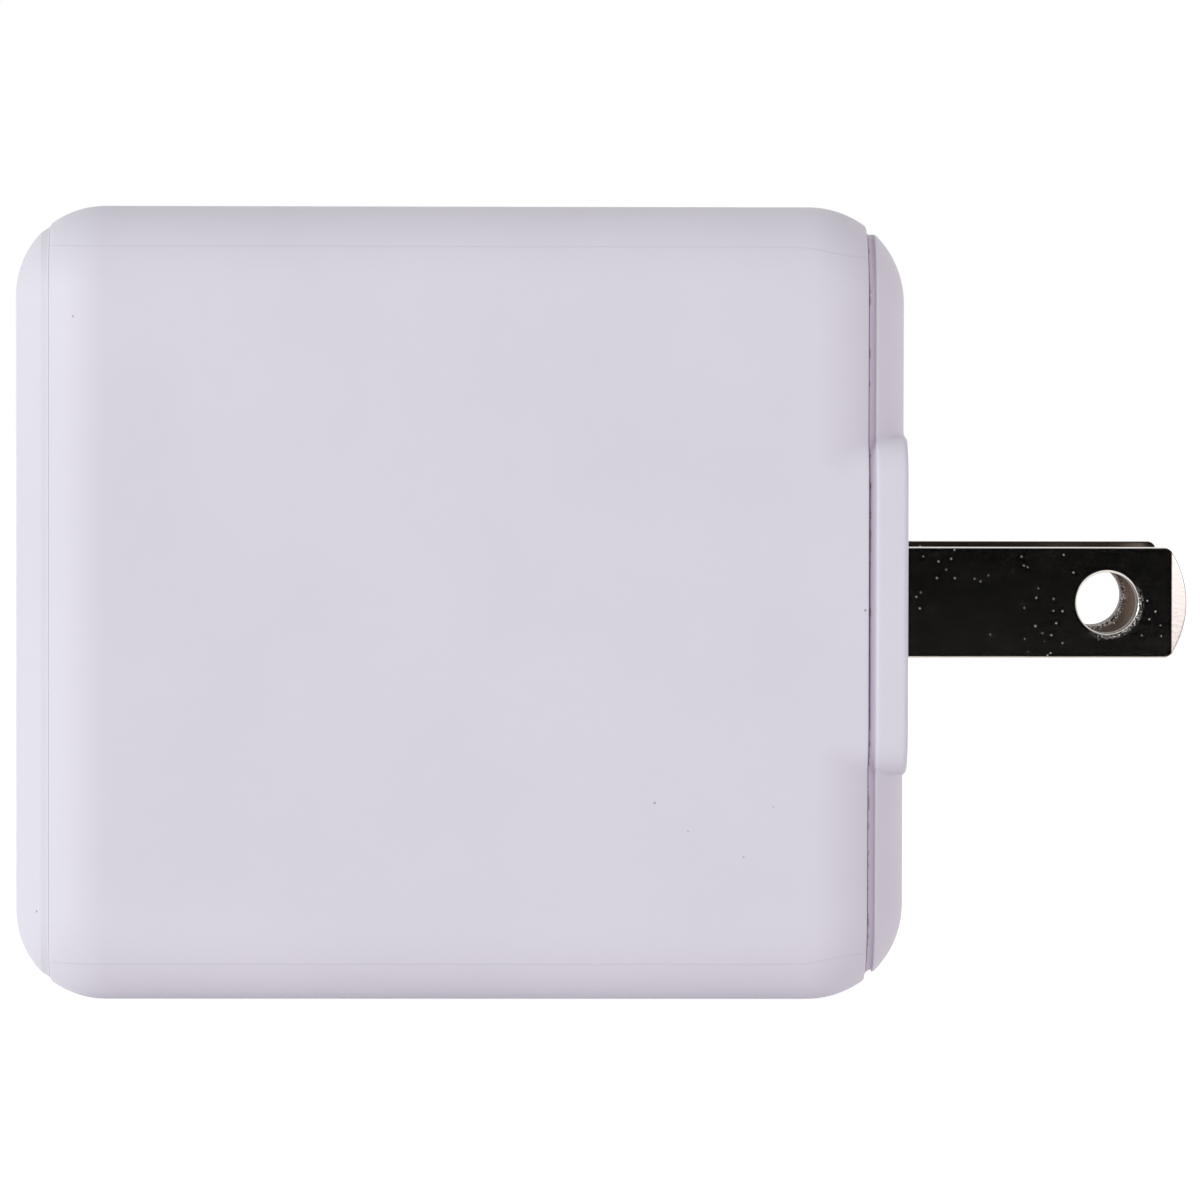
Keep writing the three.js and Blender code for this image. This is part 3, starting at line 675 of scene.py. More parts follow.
def rounded_edge(first: Points, second: Points, radius: Points | float) -> Points:
    """Finds the signed distance to two faces that meet in a rounded edge.

    Args:
        first: Signed distances to one face.
        second: Signed distances to the other.
        radius: The edge's radius.

    Returns:
        The distance, negative inside.
    """
    first = first + radius
    second = second + radius
    outer = np.hypot(np.maximum(first, 0), np.maximum(second, 0))
    return outer + np.minimum(np.maximum(first, second), 0) - radius


def soft_union(first: Points, second: Points, fillet: float) -> Points:
    """Joins two signed distances with a small fillet between them."""
    share = np.clip(0.5 + 0.5 * (second - first) / fillet, 0, 1)
    return second * (1 - share) + first * share - fillet * share * (1 - share)


def spaced(*stops: tuple[float, int]) -> Points:
    """Returns values through stops, each with the count of steps that lead to it."""
    runs = [np.linspace(low, high, steps + 1)[1:] for (low, _), (high, steps) in zip(stops, stops[1:])]
    return np.concatenate([[stops[0][0]], *runs])


def quarter_round(steps: int) -> list[tuple[float, float]]:
    """Returns a unit quarter round, as depths below its face and below its side."""
    turns = np.linspace(0, math.pi / 2, steps + 1)
    return [(1 - math.sin(turn), 1 - math.cos(turn)) for turn in turns]


@dataclass(frozen=True)
class Section:
    """A rounded rectangle across X, such as the housing's cavity."""

    half_width: float
    half_height: float
    radius: float

    def drawn(self, inset: float) -> "Section":
        """Returns the section drawn in on all sides."""
        return Section(self.half_width - inset, self.half_height - inset, self.radius - inset)

    def distance(self, place: Points) -> Points:
        """Returns the signed distance of points to the section's walls."""
        sides = np.abs(place[:, 1]) - self.half_width, np.abs(place[:, 2]) - self.half_height
        return rounded_edge(*sides, self.radius)

    def outline(self, x: float, corner_steps: int = 12) -> Points:
        """Makes the section's outline.

        Args:
            x: Its place along X.
            corner_steps: Steps of each quarter turn.

        Returns:
            The outline's points, turning from +Y to +Z.
        """
        points = []
        for quarter, (side_y, side_z) in enumerate(((1, 1), (-1, 1), (-1, -1), (1, -1))):
            for step in range(corner_steps + 1):
                angle = math.pi / 2 * (quarter + step / corner_steps)
                y = side_y * (self.half_width - self.radius) + self.radius * math.cos(angle)
                z = side_z * (self.half_height - self.radius) + self.radius * math.sin(angle)
                points.append((x, y, z))
        return np.array(points)

    def along(self, places: tuple[float, ...], corner_steps: int,
              shift: Triple = (0, 0, 0)) -> list[Points]:
        """Returns the section's outlines at places along X, moved by a shift."""
        return [self.outline(x, corner_steps) + np.array(shift) for x in places]


@dataclass(frozen=True)
class HousingForm:
    """The rounded housing, squared off beside the blades by a block that stands slightly proud."""

    plug_face: float = -0.05 * MM
    port_face: float = -50.85 * MM
    half_height: float = 22.7 * MM
    half_thickness: float = 13.8 * MM
    outline_radius: float = 5.5 * MM
    port_radius: float = 5.1 * MM
    edge_radius: float = 5.2 * MM
    band_half_height: float = 9.675 * MM
    band_radius: float = 2.4 * MM
    band_edge: float = 0.3 * MM
    band_depth: float = 7.1 * MM
    band_fillet: float = 0.3 * MM

    def distance(self, place: Points) -> Points:
        """Measures how far points are from the housing, its squared block included.

        Args:
            place: The points.

        Returns:
            The signed distances, negative inside.
        """
        middle = (self.plug_face + self.port_face) / 2
        half_length = (self.plug_face - self.port_face) / 2
        x, y, z = place[:, 0], np.abs(place[:, 1]), np.abs(place[:, 2])
        radius = np.where(x > middle, self.outline_radius, self.port_radius)
        outline = rounded_edge(np.abs(x - middle) - half_length, z - self.half_height, radius)
        to_side = y - self.half_thickness
        body = rounded_edge(outline, to_side, self.edge_radius)
        section = rounded_edge(to_side, z - self.band_half_height, self.band_radius)
        band = np.maximum(rounded_edge(section, x, self.band_edge), -self.band_depth - x)
        return np.maximum(soft_union(body, band, self.band_fillet), np.maximum(to_side, x))


@dataclass(frozen=True)
class Lattice:
    """Lines over the housing's flat core, and the directions in which its rounded rim is reached."""

    half_y: float = 8.4 * MM
    half_z: float = 17.1 * MM
    corner_steps: int = 22
    y_count: int = 33
    longest_ray: float = 30 * MM
    halvings: int = 42

    def z_lines(self) -> Points:
        """Returns the heights of the lines, closest where the block's edge lies."""
        upper = spaced((0, 0), (7.0 * MM, 6), (9.2 * MM, 24), (10.3 * MM, 26), (self.half_z, 14))
        return np.concatenate([-upper[:0:-1], upper])

    def y_lines(self) -> Points:
        """Returns the places of the lines across the thickness."""
        return np.linspace(-self.half_y, self.half_y, self.y_count)

    def rim(self) -> tuple[Points, Points]:
        """Finds the core's rim points and their outward directions, both in Y and Z.

        Returns:
            The points and the directions.
        """
        z = self.z_lines()
        y = self.y_lines()
        sides = (
            (np.full_like(z, self.half_y), z),
            (y[::-1], np.full_like(y, self.half_z)),
            (np.full_like(z, -self.half_y), z[::-1]),
            (y, np.full_like(y, -self.half_z)),
        )
        places, ways = [], []
        for quarter, side in enumerate(sides):
            points = np.column_stack(side)
            angle = quarter * math.pi / 2
            places.append(points)
            ways.append(np.tile([math.cos(angle), math.sin(angle)], (len(points), 1)))
            turns = angle + np.linspace(0, math.pi / 2, self.corner_steps + 1)[1:-1]
            places.append(np.tile(points[-1], (len(turns), 1)))
            ways.append(np.column_stack([np.cos(turns), np.sin(turns)]))
        return np.concatenate(places), np.concatenate(ways)

    def reach(self, form: HousingForm | Section, x: float, inset: float = 0.0, lift: float = 0.0,
              outward: float = 1.0) -> Points:
        """Casts the rim's rays to a form's surface.

        Args:
            form: The form to meet.
            x: Where the rays start along X.
            inset: Depth below the form's surface.
            lift: Angle between the rays and the section, up to a right angle.
            outward: 1 where lifted rays turn to +X, or -1.

        Returns:
            One point for each ray.
        """
        places, ways = self.rim()
        starts = np.column_stack([np.full(len(places), x), places])
        rays = np.column_stack([np.full(len(ways), outward * math.sin(lift)), ways * math.cos(lift)])
        return self.cast(form, starts, rays, inset)

    def cast(self, form: HousingForm | Section, starts: Points, rays: Points, inset: float = 0.0) -> Points:
        """Finds where rays from inside meet a form's surface.

        Args:
            form: The form to meet.
            starts: The rays' starts.
            rays: The rays' directions.
            inset: Depth below the form's surface.

        Returns:
            The points met.
        """
        near = np.zeros(len(starts))
        far = np.full(len(starts), self.longest_ray)
        for _ in range(self.halvings):
            middle = (near + far) / 2
            inside = form.distance(starts + rays * middle[:, None]) < -inset
            near = np.where(inside, middle, near)
            far = np.where(inside, far, middle)
        return starts + rays * far[:, None]

    def patch(self, form: HousingForm | None, x: float, outward: float) -> list[Points]:
        """Lays points over the flat core.

        Args:
            form: The form that the rays meet, or nothing for a flat patch at x.
            x: Where the rays start along X.
            outward: 1 where the rays turn to +X, or -1.

        Returns:
            One row of points for each Z line.
        """
        y = self.y_lines()
        rows = [np.column_stack([np.full_like(y, x), y, np.full_like(y, z)]) for z in self.z_lines()]
        rays = np.tile([outward, 0.0, 0.0], (len(y), 1))
        return rows if form is None else [self.cast(form, row, rays) for row in rows]


# Where a rim's slope has its rows, and the angles in which a cap's rays rise.
RIM_SHARES = (0.04, 0.1, 0.18, 0.3, 0.5, 0.75, 1.0)
CAP_LIFTS = np.radians(spaced((90, 0), (35, 26), (12, 46), (0, 9)))


@dataclass(frozen=True)
class CapEnd:
    """Planes across X of one end cap, from its seam inwards, and the form of its sunk reveal."""

    seam: float
    spigot_end: float
    outward: float
    reveal_depth: float
    parting_gap: float
    steepness: float


@dataclass
class Housing:
    """The white housing: a sleeve between two end caps, with sunk seams."""

    form: HousingForm = HousingForm()
    lattice: Lattice = Lattice()
    finish: Finish = MouldedShell("shell_white", shade(218, 216, 225))
    cavity: Section = Section(11.9 * MM, 20.8 * MM, 3.3 * MM)
    hollow: Section = Section(10.58 * MM, 19.48 * MM, 1.98 * MM)
    plug_end: CapEnd = CapEnd(-1.77 * MM, -7.75 * MM, 1.0, 0.26 * MM, 0.05 * MM, 5.0)
    port_end: CapEnd = CapEnd(-49.35 * MM, -43.37 * MM, -1.0, 0.08 * MM, 0.01 * MM, 2.0)
    reveal_width: float = 0.48 * MM
    spigot_fit: float = 0.12 * MM
    lead_in: float = 0.4 * MM
    edge_round: float = 0.1 * MM
    hard_angle: float = math.radians(30)
    blade_slot: Section = Section(0.86 * MM, 3.275 * MM, 0.12 * MM)
    slot_flare: float = 0.16 * MM
    slot_margin: float = 0.4 * MM
    boss: Section = Section(2.16 * MM, 4.575 * MM, 0.3 * MM)
    boss_end: float = -4.25 * MM
    stake: Section = Section(1.1 * MM, 1.1 * MM, 1.0989 * MM)
    stake_height: float = 5.8 * MM
    stake_end: float = -7.85 * MM
    mouth: Section = Section(1.73 * MM, 4.62 * MM, 1.66 * MM)
    mouth_chamfer: float = 0.35 * MM
    mouth_margin: float = 0.5 * MM
    collar: Section = Section(2.73 * MM, 5.62 * MM, 2.6 * MM)
    collar_end: float = -46.37 * MM
    rail_half_width: float = 0.45 * MM
    rail_round: float = 0.12 * MM
    rail_ends: tuple[float, float] = (-7.95 * MM, -43.17 * MM)
    rail_places: tuple[float, float] = (7.45 * MM, 9.75 * MM)
    rail_top: float = 19.3 * MM
    rail_root: float = 0.9 * MM
    # Stops of the sleeve's rows in -X, each with the steps that lead to it.
    row_stops: tuple[tuple[float, int], ...] = ((6.4 * MM, 22), (44.6 * MM, 9))
    last_rows: int = 26

    def build(self) -> None:
        """Builds and dresses the three pieces of the housing."""
        makers = {"sleeve": self.sleeve, "plug_cap": self.plug_cap, "port_cap": self.port_cap}
        for node, make in makers.items():
            piece = make()
            smooth(piece, self.hard_angle)
            dress(piece, self.finish, "white_shell", node)

    def sleeve(self) -> bpy.types.Object:
        """Makes the middle of the housing with the rails inside it.

        Returns:
            The sleeve.
        """
        front = self.plug_end.seam - self.reveal_width
        back = self.port_end.seam + self.reveal_width
        first, last = self.edge_round - front, -(back + self.edge_round)
        stops = ((first, 0), *self.row_stops, (last, self.last_rows))
        rows = self.edge(front, 1.0)[::-1]
        rows += [self.lattice.reach(self.form, -place) for place in spaced(*stops)[1:-1]]
        rows += self.edge(back, -1.0)
        rows += [self.lattice.reach(self.cavity, place) for place in (back, front)]
        mesh = FormMesh()
        mesh.loft(rows, looped=True)
        piece = mesh.finish("housing_sleeve")
        for side in (-1, 1):
            for place in self.rail_places:
                combine(piece, self.rail(place, side), Change.JOIN)
        return piece

    def rail(self, place: float, side: int) -> bpy.types.Object:
        """Makes one rail that holds the board's edge.

        Args:
            place: Its middle in Y.
            side: 1 at the top or -1 at the bottom.

        Returns:
            The rail's form.
        """
        middle = side * (self.rail_top + self.cavity.half_height + self.rail_root) / 2
        section = Section(self.rail_half_width, abs(middle) - self.rail_top, self.rail_round)
        return solid(section.along(self.rail_ends, 2, (0, place, middle)))

    def edge(self, face: float, outward: float) -> list[Points]:
        """Returns the rows that round an outer edge, from its side to a face that looks outward."""
        turns = [(face - outward * self.edge_round * x, self.edge_round * y) for x, y in quarter_round(4)]
        return [self.lattice.reach(self.form, x, depth) for x, depth in turns]

    def rim(self, end: CapEnd, foot: float) -> list[Points]:
        """Returns the rows that slope from a cap's surface at its seam down to the foot of the reveal."""
        slope = [(end.seam + (foot - end.seam) * x, 1 - (1 - x) ** end.steepness) for x in RIM_SHARES]
        return [self.lattice.reach(self.form, x, end.reveal_depth * fall) for x, fall in slope]

    def cap(self, name: str, end: CapEnd) -> bpy.types.Object:
        """Makes a cap's closed form without its openings.

        Args:
            name: The piece's name.
            end: Its planes.

        Returns:
            The cap.
        """
        start = end.seam + end.outward * self.edge_round
        plate = end.seam - end.outward * self.reveal_width
        land = plate + end.outward * end.parting_gap
        rows = [self.lattice.reach(self.form, start, 0, lift, end.outward) for lift in CAP_LIFTS]
        rows += self.rim(end, land)
        spigot = self.cavity.drawn(self.spigot_fit)
        for section, place in (
            (spigot, land),
            (spigot, end.spigot_end + end.outward * self.lead_in),
            (spigot.drawn(self.lead_in), end.spigot_end),
            (self.hollow, end.spigot_end),
            (self.hollow, plate),
        ):
            rows.append(self.lattice.reach(section, place))
        places, _ = self.lattice.rim()
        rows.append(np.column_stack([np.full(len(places), plate), places]))
        mesh = FormMesh()
        mesh.loft(rows)
        mesh.loft(self.lattice.patch(self.form, start, end.outward), closed=False)
        mesh.loft(self.lattice.patch(None, plate, end.outward), closed=False)
        return mesh.finish(name)

    def plug_cap(self) -> bpy.types.Object:
        """Makes the cap that carries the blades.

        Returns:
            The cap.
        """
        piece = self.cap("housing_plug_cap", self.plug_end)
        seam = self.plug_end.seam
        shifts = [(0, side * BLADE_SPACING / 2, 0) for side in (-1, 1)]
        for side, shift in zip((-1, 1), shifts):
            stake_shift = (0, 0, side * self.stake_height)
            combine(piece, solid(self.boss.along((seam, self.boss_end), 3, shift)), Change.JOIN)
            combine(piece, solid(self.stake.along((seam, self.stake_end), 8, stake_shift)), Change.JOIN)
        slot = (-self.slot_flare, self.boss_end - self.slot_margin)
        for shift in shifts:
            rows = self.blade_slot.drawn(-self.slot_flare).along((self.slot_margin, 0.0), 4, shift)
            combine(piece, solid(rows + self.blade_slot.along(slot, 4, shift)), Change.CUT)
        return piece

    def port_cap(self) -> bpy.types.Object:
        """Makes the cap with the port's mouth.

        Returns:
            The cap.
        """
        piece = self.cap("housing_port_cap", self.port_end)
        combine(piece, solid(self.collar.along((self.port_end.seam, self.collar_end), 10)), Change.JOIN)
        face = self.form.port_face
        rows = [self.mouth.drawn(-self.mouth_chamfer).outline(face - self.mouth_margin, 16)]
        for beside, behind in quarter_round(6):
            section = self.mouth.drawn(-self.mouth_chamfer * beside)
            rows.append(section.outline(face + self.mouth_chamfer * behind, 16))
        rows.append(self.mouth.outline(self.collar_end + self.mouth_margin, 16))
        combine(piece, solid(rows), Change.CUT)
        return piece


@dataclass
class Blade:
    """A flat plug blade with an arched, thinned tip and a drilled hole."""

    name: str
    node: str
    side: float
    finish: Finish
    width: float = 6.35 * MM
    thickness: float = 1.52 * MM
    length: float = 16.4 * MM
    tip_radius: float = 5.4 * MM
    tip_corner: float = 0.45 * MM
    tip_bevel: float = 0.9 * MM
    tip_thickness: float = 0.72 * MM
    edge_break: float = 0.06 * MM
    hole_radius: float = 1.75 * MM
    hole_break: float = 0.13 * MM
    hole_steps: int = 96
    collar: float = 0.05 * MM
    root_end: float = 0.15 * MM
    root_step: float = 0.02 * MM
    root_relief: float = 0.05 * MM
    face_cuts: tuple[float, float] = (8.0 * MM, 4.0 * MM)
    shoulder_front: float = -4.45 * MM
    shoulder_back: float = -5.65 * MM
    shoulder_width: float = 9.2 * MM
    tail_end: float = -10.65 * MM
    tail_width: float = 5.0 * MM
    hard_angle: float = math.radians(20)

    def build(self) -> None:
        """Builds and dresses the blade."""
        mesh = FormMesh()
        half = self.thickness / 2
        outer = [self.outline(-half, self.edge_break + self.collar)]
        inner = [self.hole(-half, self.hole_break + self.collar)]
        for beside, below in quarter_round(4):
            outer.append(self.outline(self.edge_break * below - half, self.edge_break * beside))
            inner.append(self.hole(self.hole_break * below - half, self.hole_break * beside))
        mirror = np.array([1, -1, 1])
        ends = [mesh.loft(rows + [row * mirror for row in rows[::-1]]) for rows in (outer, inner)]
        for outline, rim in zip(*ends):
            mesh.fill(outline, rim)
        root = (self.root_end, self.root_end - self.root_step)
        for place in (self.length - self.tip_bevel, *root, *self.face_cuts):
            mesh.cut(place)
        for vertex in mesh.mesh.verts:
            vertex.co.y = vertex.co.y * self.share(vertex.co.x) + self.side * BLADE_SPACING / 2
        dress(mesh.finish(self.name, self.hard_angle), self.finish, "nickel_blade", self.node)

    def share(self, x: float) -> float:
        """Finds the share of the full thickness that the blade has at a place.

        Args:
            x: The place along X.

        Returns:
            The share.
        """
        full = self.thickness
        if x < self.root_end - self.root_step / 2:
            return (full - 2 * self.root_relief) / full
        past = max(x - (self.length - self.tip_bevel), 0) / self.tip_bevel
        return (full + (self.tip_thickness - full) * past) / full

    def outline(self, y: float, inset: float) -> Points:
        """Makes the blade's outline.

        Args:
            y: Its place across the thickness.
            inset: How far it is drawn in.

        Returns:
            The outline's points.
        """
        half = self.width / 2 - inset
        tail = self.tail_width / 2 - inset
        shoulder = self.shoulder_width / 2 - inset
        reach = self.tip_radius - inset
        corner = self.tip_corner - inset
        centre = self.length - self.tip_radius
        corner_x = centre + math.sqrt((reach - corner) ** 2 - (half - corner) ** 2)
        turn = math.atan2(half - corner, corner_x - centre)
        upper = [(self.tail_end + inset, tail), (self.shoulder_back + inset, tail),
                 (self.shoulder_back + inset, shoulder), (self.shoulder_front - inset, shoulder),
                 (self.shoulder_front - inset, half)]
        for angle in np.linspace(math.pi / 2, turn, 9):
            upper.append((corner_x + corner * math.cos(angle), half - corner + corner * math.sin(angle)))
        for angle in np.linspace(turn, 0, 33)[1:-1]:
            upper.append((centre + reach * math.cos(angle), reach * math.sin(angle)))
        lower = [(x, -z) for x, z in reversed(upper)]
        return np.array([(x, y, z) for x, z in (*upper, (self.length - inset, 0.0), *lower)])

    def hole(self, y: float, growth: float) -> Points:
        """Makes a circle round the hole.

        Args:
            y: Its place across the thickness.
            growth: How far it lies outside the drilled radius.

        Returns:
            The circle's points.
        """
        angles = np.linspace(0, 2 * math.pi, self.hole_steps + 1)[:-1]
        radius = self.hole_radius + growth
        x = HOLE_PLACE + radius * np.cos(angles)
        return np.column_stack([x, np.full_like(x, y), radius * np.sin(angles)])


class Recipe(Graph):
    """A Geometry Nodes tree with named inputs, applied to an empty mesh."""

    def __init__(self, name: str) -> None:
        """Starts the tree of a piece, by the piece's name.

        Args:
            name: The piece's name.
        """
        super().__init__(bpy.data.node_groups.new(name, "GeometryNodeTree"))
        self.tree.interface.new_socket("Geometry", in_out="OUTPUT", socket_type="NodeSocketGeometry")
        self.name = name
        self.entry = self.node("NodeGroupInput")
        self.values: dict[str, float | int] = {}

    def sizes(self, values: dict[str, float | int]) -> list[Signal]:
        """Adds named inputs.

        Args:
            values: Each input's name and its value on the piece.

        Returns:
            The inputs inside the tree, in the same order.
        """
        for name, value in values.items():
            kind = "NodeSocketInt" if isinstance(value, int) else "NodeSocketFloat"
            added = self.tree.interface.new_socket(name, in_out="INPUT", socket_type=kind)
            self.values[added.identifier] = value
        return [Signal(self, self.entry.outputs[name]) for name in values]

    def piece(self, shape: Signal, finish: Finish) -> bpy.types.Object:
        """Ends the tree and returns its result as a plain mesh.

        Args:
            shape: The geometry to give out.
            finish: The finish to give it.

        Returns:
            The object.
        """
        real = self.signal("GeometryNodeRealizeInstances", {0: shape})
        dressed = self.signal("GeometryNodeSetMaterial", {"Geometry": real, "Material": finish.material()})
        self.node("NodeGroupOutput", {0: dressed})
        made = add_object(self.name, bpy.data.meshes.new(self.name))
        change = made.modifiers.new("Recipe", "NODES")
        change.node_group = self.tree
        for identifier, value in self.values.items():
            change[identifier] = value
        settle(made)
        return made


@dataclass
class Port:
    """The USB-C receptacle: drawn steel shell, black insulator and the contacts on its tongue."""

    front: float = -50.50 * MM
    back: float = -43.37 * MM
    shell: Section = Section(1.58 * MM, 4.47 * MM, 1.517 * MM)
    shell_steps: int = 14
    wall: float = 0.3 * MM
    lip: float = 0.1 * MM
    base_front: float = -45.37 * MM
    base_fit: float = 0.075 * MM
    tongue: Section = Section(0.35 * MM, 3.345 * MM, 0.12 * MM)
    tongue_steps: int = 4
    tongue_tip: float = -49.80 * MM
    tip_round: float = 0.12 * MM
    tip_draw: float = 0.108 * MM
    hard_angle: float = math.radians(35)
    contact_count: int = 12
    contact_pitch: float = 0.5 * MM
    contact_width: float = 0.26 * MM
    contact_length: float = 3.4 * MM
    contact_setback: float = 0.45 * MM
    contact_rise: float = 0.05 * MM
    contact_lift: float = 0.2
    steel: Finish = PlatedMetal("port_steel_drawn", shade(196, 197, 200), 0.28, 0.14, 0.1)
    black: Finish = PlainPlastic("port_black", shade(26, 26, 28), 0.42)
    gold: Finish = PlatedMetal("port_contact_gold", shade(226, 180, 96), 0.2, 0.05, 0.1)

    def build(self) -> None:
        """Builds and dresses the port's pieces."""
        dress(self.shell_piece(), self.steel, "port_steel", "usb_c_shell")
        dress(self.tongue_piece(), self.black, "black_moulding", "usb_c_tongue")
        dress(self.contacts(), self.gold, "brass_contact")

    def shell_piece(self) -> bpy.types.Object:
        """Makes the shell with a rounded lip.

        Returns:
            The shell.
        """
        rows = [self.shell.outline(self.back, self.shell_steps)]
        for angle in np.linspace(0, math.pi, 9):
            depth = self.lip * (1 - math.sin(angle))
            section = self.shell.drawn(self.wall / 2 * (1 - math.cos(angle)))
            rows.append(section.outline(self.front + depth, self.shell_steps))
        rows.append(self.shell.drawn(self.wall).outline(self.back, self.shell_steps))
        mesh = FormMesh()
        mesh.loft(rows, looped=True)
        return mesh.finish("port_shell")

    def tongue_piece(self) -> bpy.types.Object:
        """Makes the insulator's base and tongue.

        Returns:
            The insulator.
        """
        base = self.shell.drawn(self.wall + self.base_fit)
        piece = solid(base.along((self.back, self.base_front), self.shell_steps), "port_tongue")
        rows = [self.tongue.outline(self.back, self.tongue_steps)]
        for behind, below in quarter_round(4):
            section = self.tongue.drawn(self.tip_draw * below)
            rows.append(section.outline(self.tongue_tip + self.tip_round * behind, self.tongue_steps))
        combine(piece, solid(rows), Change.JOIN)
        smooth(piece, self.hard_angle)
        return piece

    def contacts(self) -> bpy.types.Object:
        """Makes the contact strips on both sides of the tongue.

        Returns:
            The strips.
        """
        recipe = Recipe("port_contacts")
        length, width, rise, pitch, count = recipe.sizes({
            "Length": self.contact_length,
            "Width": self.contact_width,
            "Thickness": self.contact_rise * 2,
            "Pitch": self.contact_pitch,
            "Count": self.contact_count,
        })
        size = recipe.signal("ShaderNodeCombineXYZ", {0: length, 1: rise, 2: width})
        strip = recipe.signal("GeometryNodeMeshCube", {"Size": size})
        step = recipe.signal("ShaderNodeCombineXYZ", {2: pitch})
        x = self.tongue_tip + self.contact_length / 2 + self.contact_setback
        y = self.tongue.half_width - self.contact_lift * self.contact_rise
        z = -(self.contact_count - 1) / 2 * self.contact_pitch
        joined = recipe.node("GeometryNodeJoinGeometry")
        for side in (-1, 1):
            line = {"Count": count, "Start Location": (x, side * y, z), "Offset": step}
            places = recipe.signal("GeometryNodeMeshLine", line)
            row = recipe.signal("GeometryNodeInstanceOnPoints", {"Points": places, "Instance": strip})
            recipe.tree.links.new(row.socket, joined.inputs[0])
        return recipe.piece(Signal(recipe, joined.outputs[0]), self.gold)


@dataclass
class Winding:
    """A choke's winding: one wire coiled round the drum's waist."""

    name: str
    node: str
    wire: float = 0.42 * MM
    turn_steps: int = 48
    wire_steps: int = 8
    finish: Finish = WoundWire("wire_copper", shade(186, 98, 48))

    def build(self) -> None:
        """Builds and dresses the winding inside its node's box."""
        low, high = (np.array(corner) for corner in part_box(self.node))
        middle = (low + high) / 2
        height = high[1] - low[1] - self.wire
        recipe = Recipe(self.name)
        turns, reach, tall, thick = recipe.sizes({
            "Turns": float(int(height / self.wire)),
            "Radius": float((high[0] - low[0]) / 2 - self.wire / 2),
            "Height": float(height),
            "Wire radius": self.wire / 2,
        })
        coil = {"Resolution": self.turn_steps, "Rotations": turns, "Height": tall}
        coil |= {"Start Radius": reach, "End Radius": reach}
        path = recipe.signal("GeometryNodeCurveSpiral", coil)
        round_wire = {"Resolution": self.wire_steps, "Radius": thick}
        profile = recipe.signal("GeometryNodeCurvePrimitiveCircle", round_wire)
        tube = recipe.signal("GeometryNodeCurveToMesh", {0: path, 1: profile, "Fill Caps": True})
        tube = recipe.signal("GeometryNodeSetShadeSmooth", {0: tube})
        start = (float(middle[0]), float(middle[1] + height / 2), float(middle[2]))
        turned = {"Geometry": tube, "Translation": start, "Rotation": (math.pi / 2, 0.0, 0.0)}
        piece = recipe.piece(recipe.signal("GeometryNodeTransform", turned), self.finish)
        dress(piece, self.finish, "copper_winding", self.node)


@dataclass
class Electronics:
    """The sealed inner parts, which keep their frame shapes and get their finishes."""

    finishes: tuple[tuple[Finish, tuple[str, ...]], ...] = (
        (PlainPlastic("inner_white", shade(232, 230, 226), 0.5, 700, 0.006 * MM), ("blade_retainer",)),
        (PlatedMetal("contact_brass", shade(206, 176, 116), 0.3), ("contact_near", "contact_far")),
        (Laminate("board_green", shade(38, 104, 62)), ("main_board", "port_board")),
        (PlainPlastic("fuse_glass", shade(200, 208, 212), Sheen.GLOSSY), ("fuse",)),
        (PlainPlastic("epoxy_blue", shade(46, 92, 168), Sheen.SATIN, 900, 0.03 * MM, 0.4),
         ("varistor", "safety_capacitor")),
        (PlainPlastic("case_yellow", shade(218, 176, 52), Sheen.SATIN), ("suppression_capacitor",)),
        (PlainPlastic("ferrite_grey", shade(48, 48, 50), Sheen.MATTE, 1500, 0.01 * MM),
         ("line_choke_core", "output_choke_core", "transformer_core_upper", "transformer_core_lower")),
        (PlainPlastic("can_film", shade(30, 52, 84), Sheen.GLOSSY, 300, 0.01 * MM, 0.3),
         ("bulk_capacitor_inner", "bulk_capacitor_outer")),
        (PlainPlastic("tape_yellow", shade(220, 176, 40), Sheen.GLOSSY, 500, 0.03 * MM),
         ("transformer_winding",)),
        (PlatedMetal("aluminium_plain", shade(212, 214, 216), 0.34, 0.16, 0.05),
         ("output_capacitor_inner", "output_capacitor_outer", "heat_spreader")),
        (PlainPlastic("pad_grey", shade(150, 158, 166), 0.7, 500, 0.04 * MM), ("thermal_pad",)),
        (PlainPlastic("film_clear", shade(222, 223, 218), Sheen.GLOSSY), ("insulation_sheet",)),
        (PlainPlastic("chip_black", shade(34, 34, 36), Sheen.MATTE, 2200, 0.006 * MM),
         ("bridge_rectifier", "power_switch", "controller_chip", "rectifier_chip", "transformer_bobbin")),
    )

    def build(self, nodes: dict) -> None:
        """Gives each inner node its finish, and the chokes their wire.

        Args:
            nodes: The frame's objects by node name.
        """
        for finish, names in self.finishes:
            for name in names:
                data = nodes[name].data
                data.materials.clear()
                data.materials.append(finish.material())
                LOG.info("%s: %s", name, finish.name)
        for choke in ("line_choke", "output_choke"):
            Winding(f"{choke}_wire", f"{choke}_winding").build()


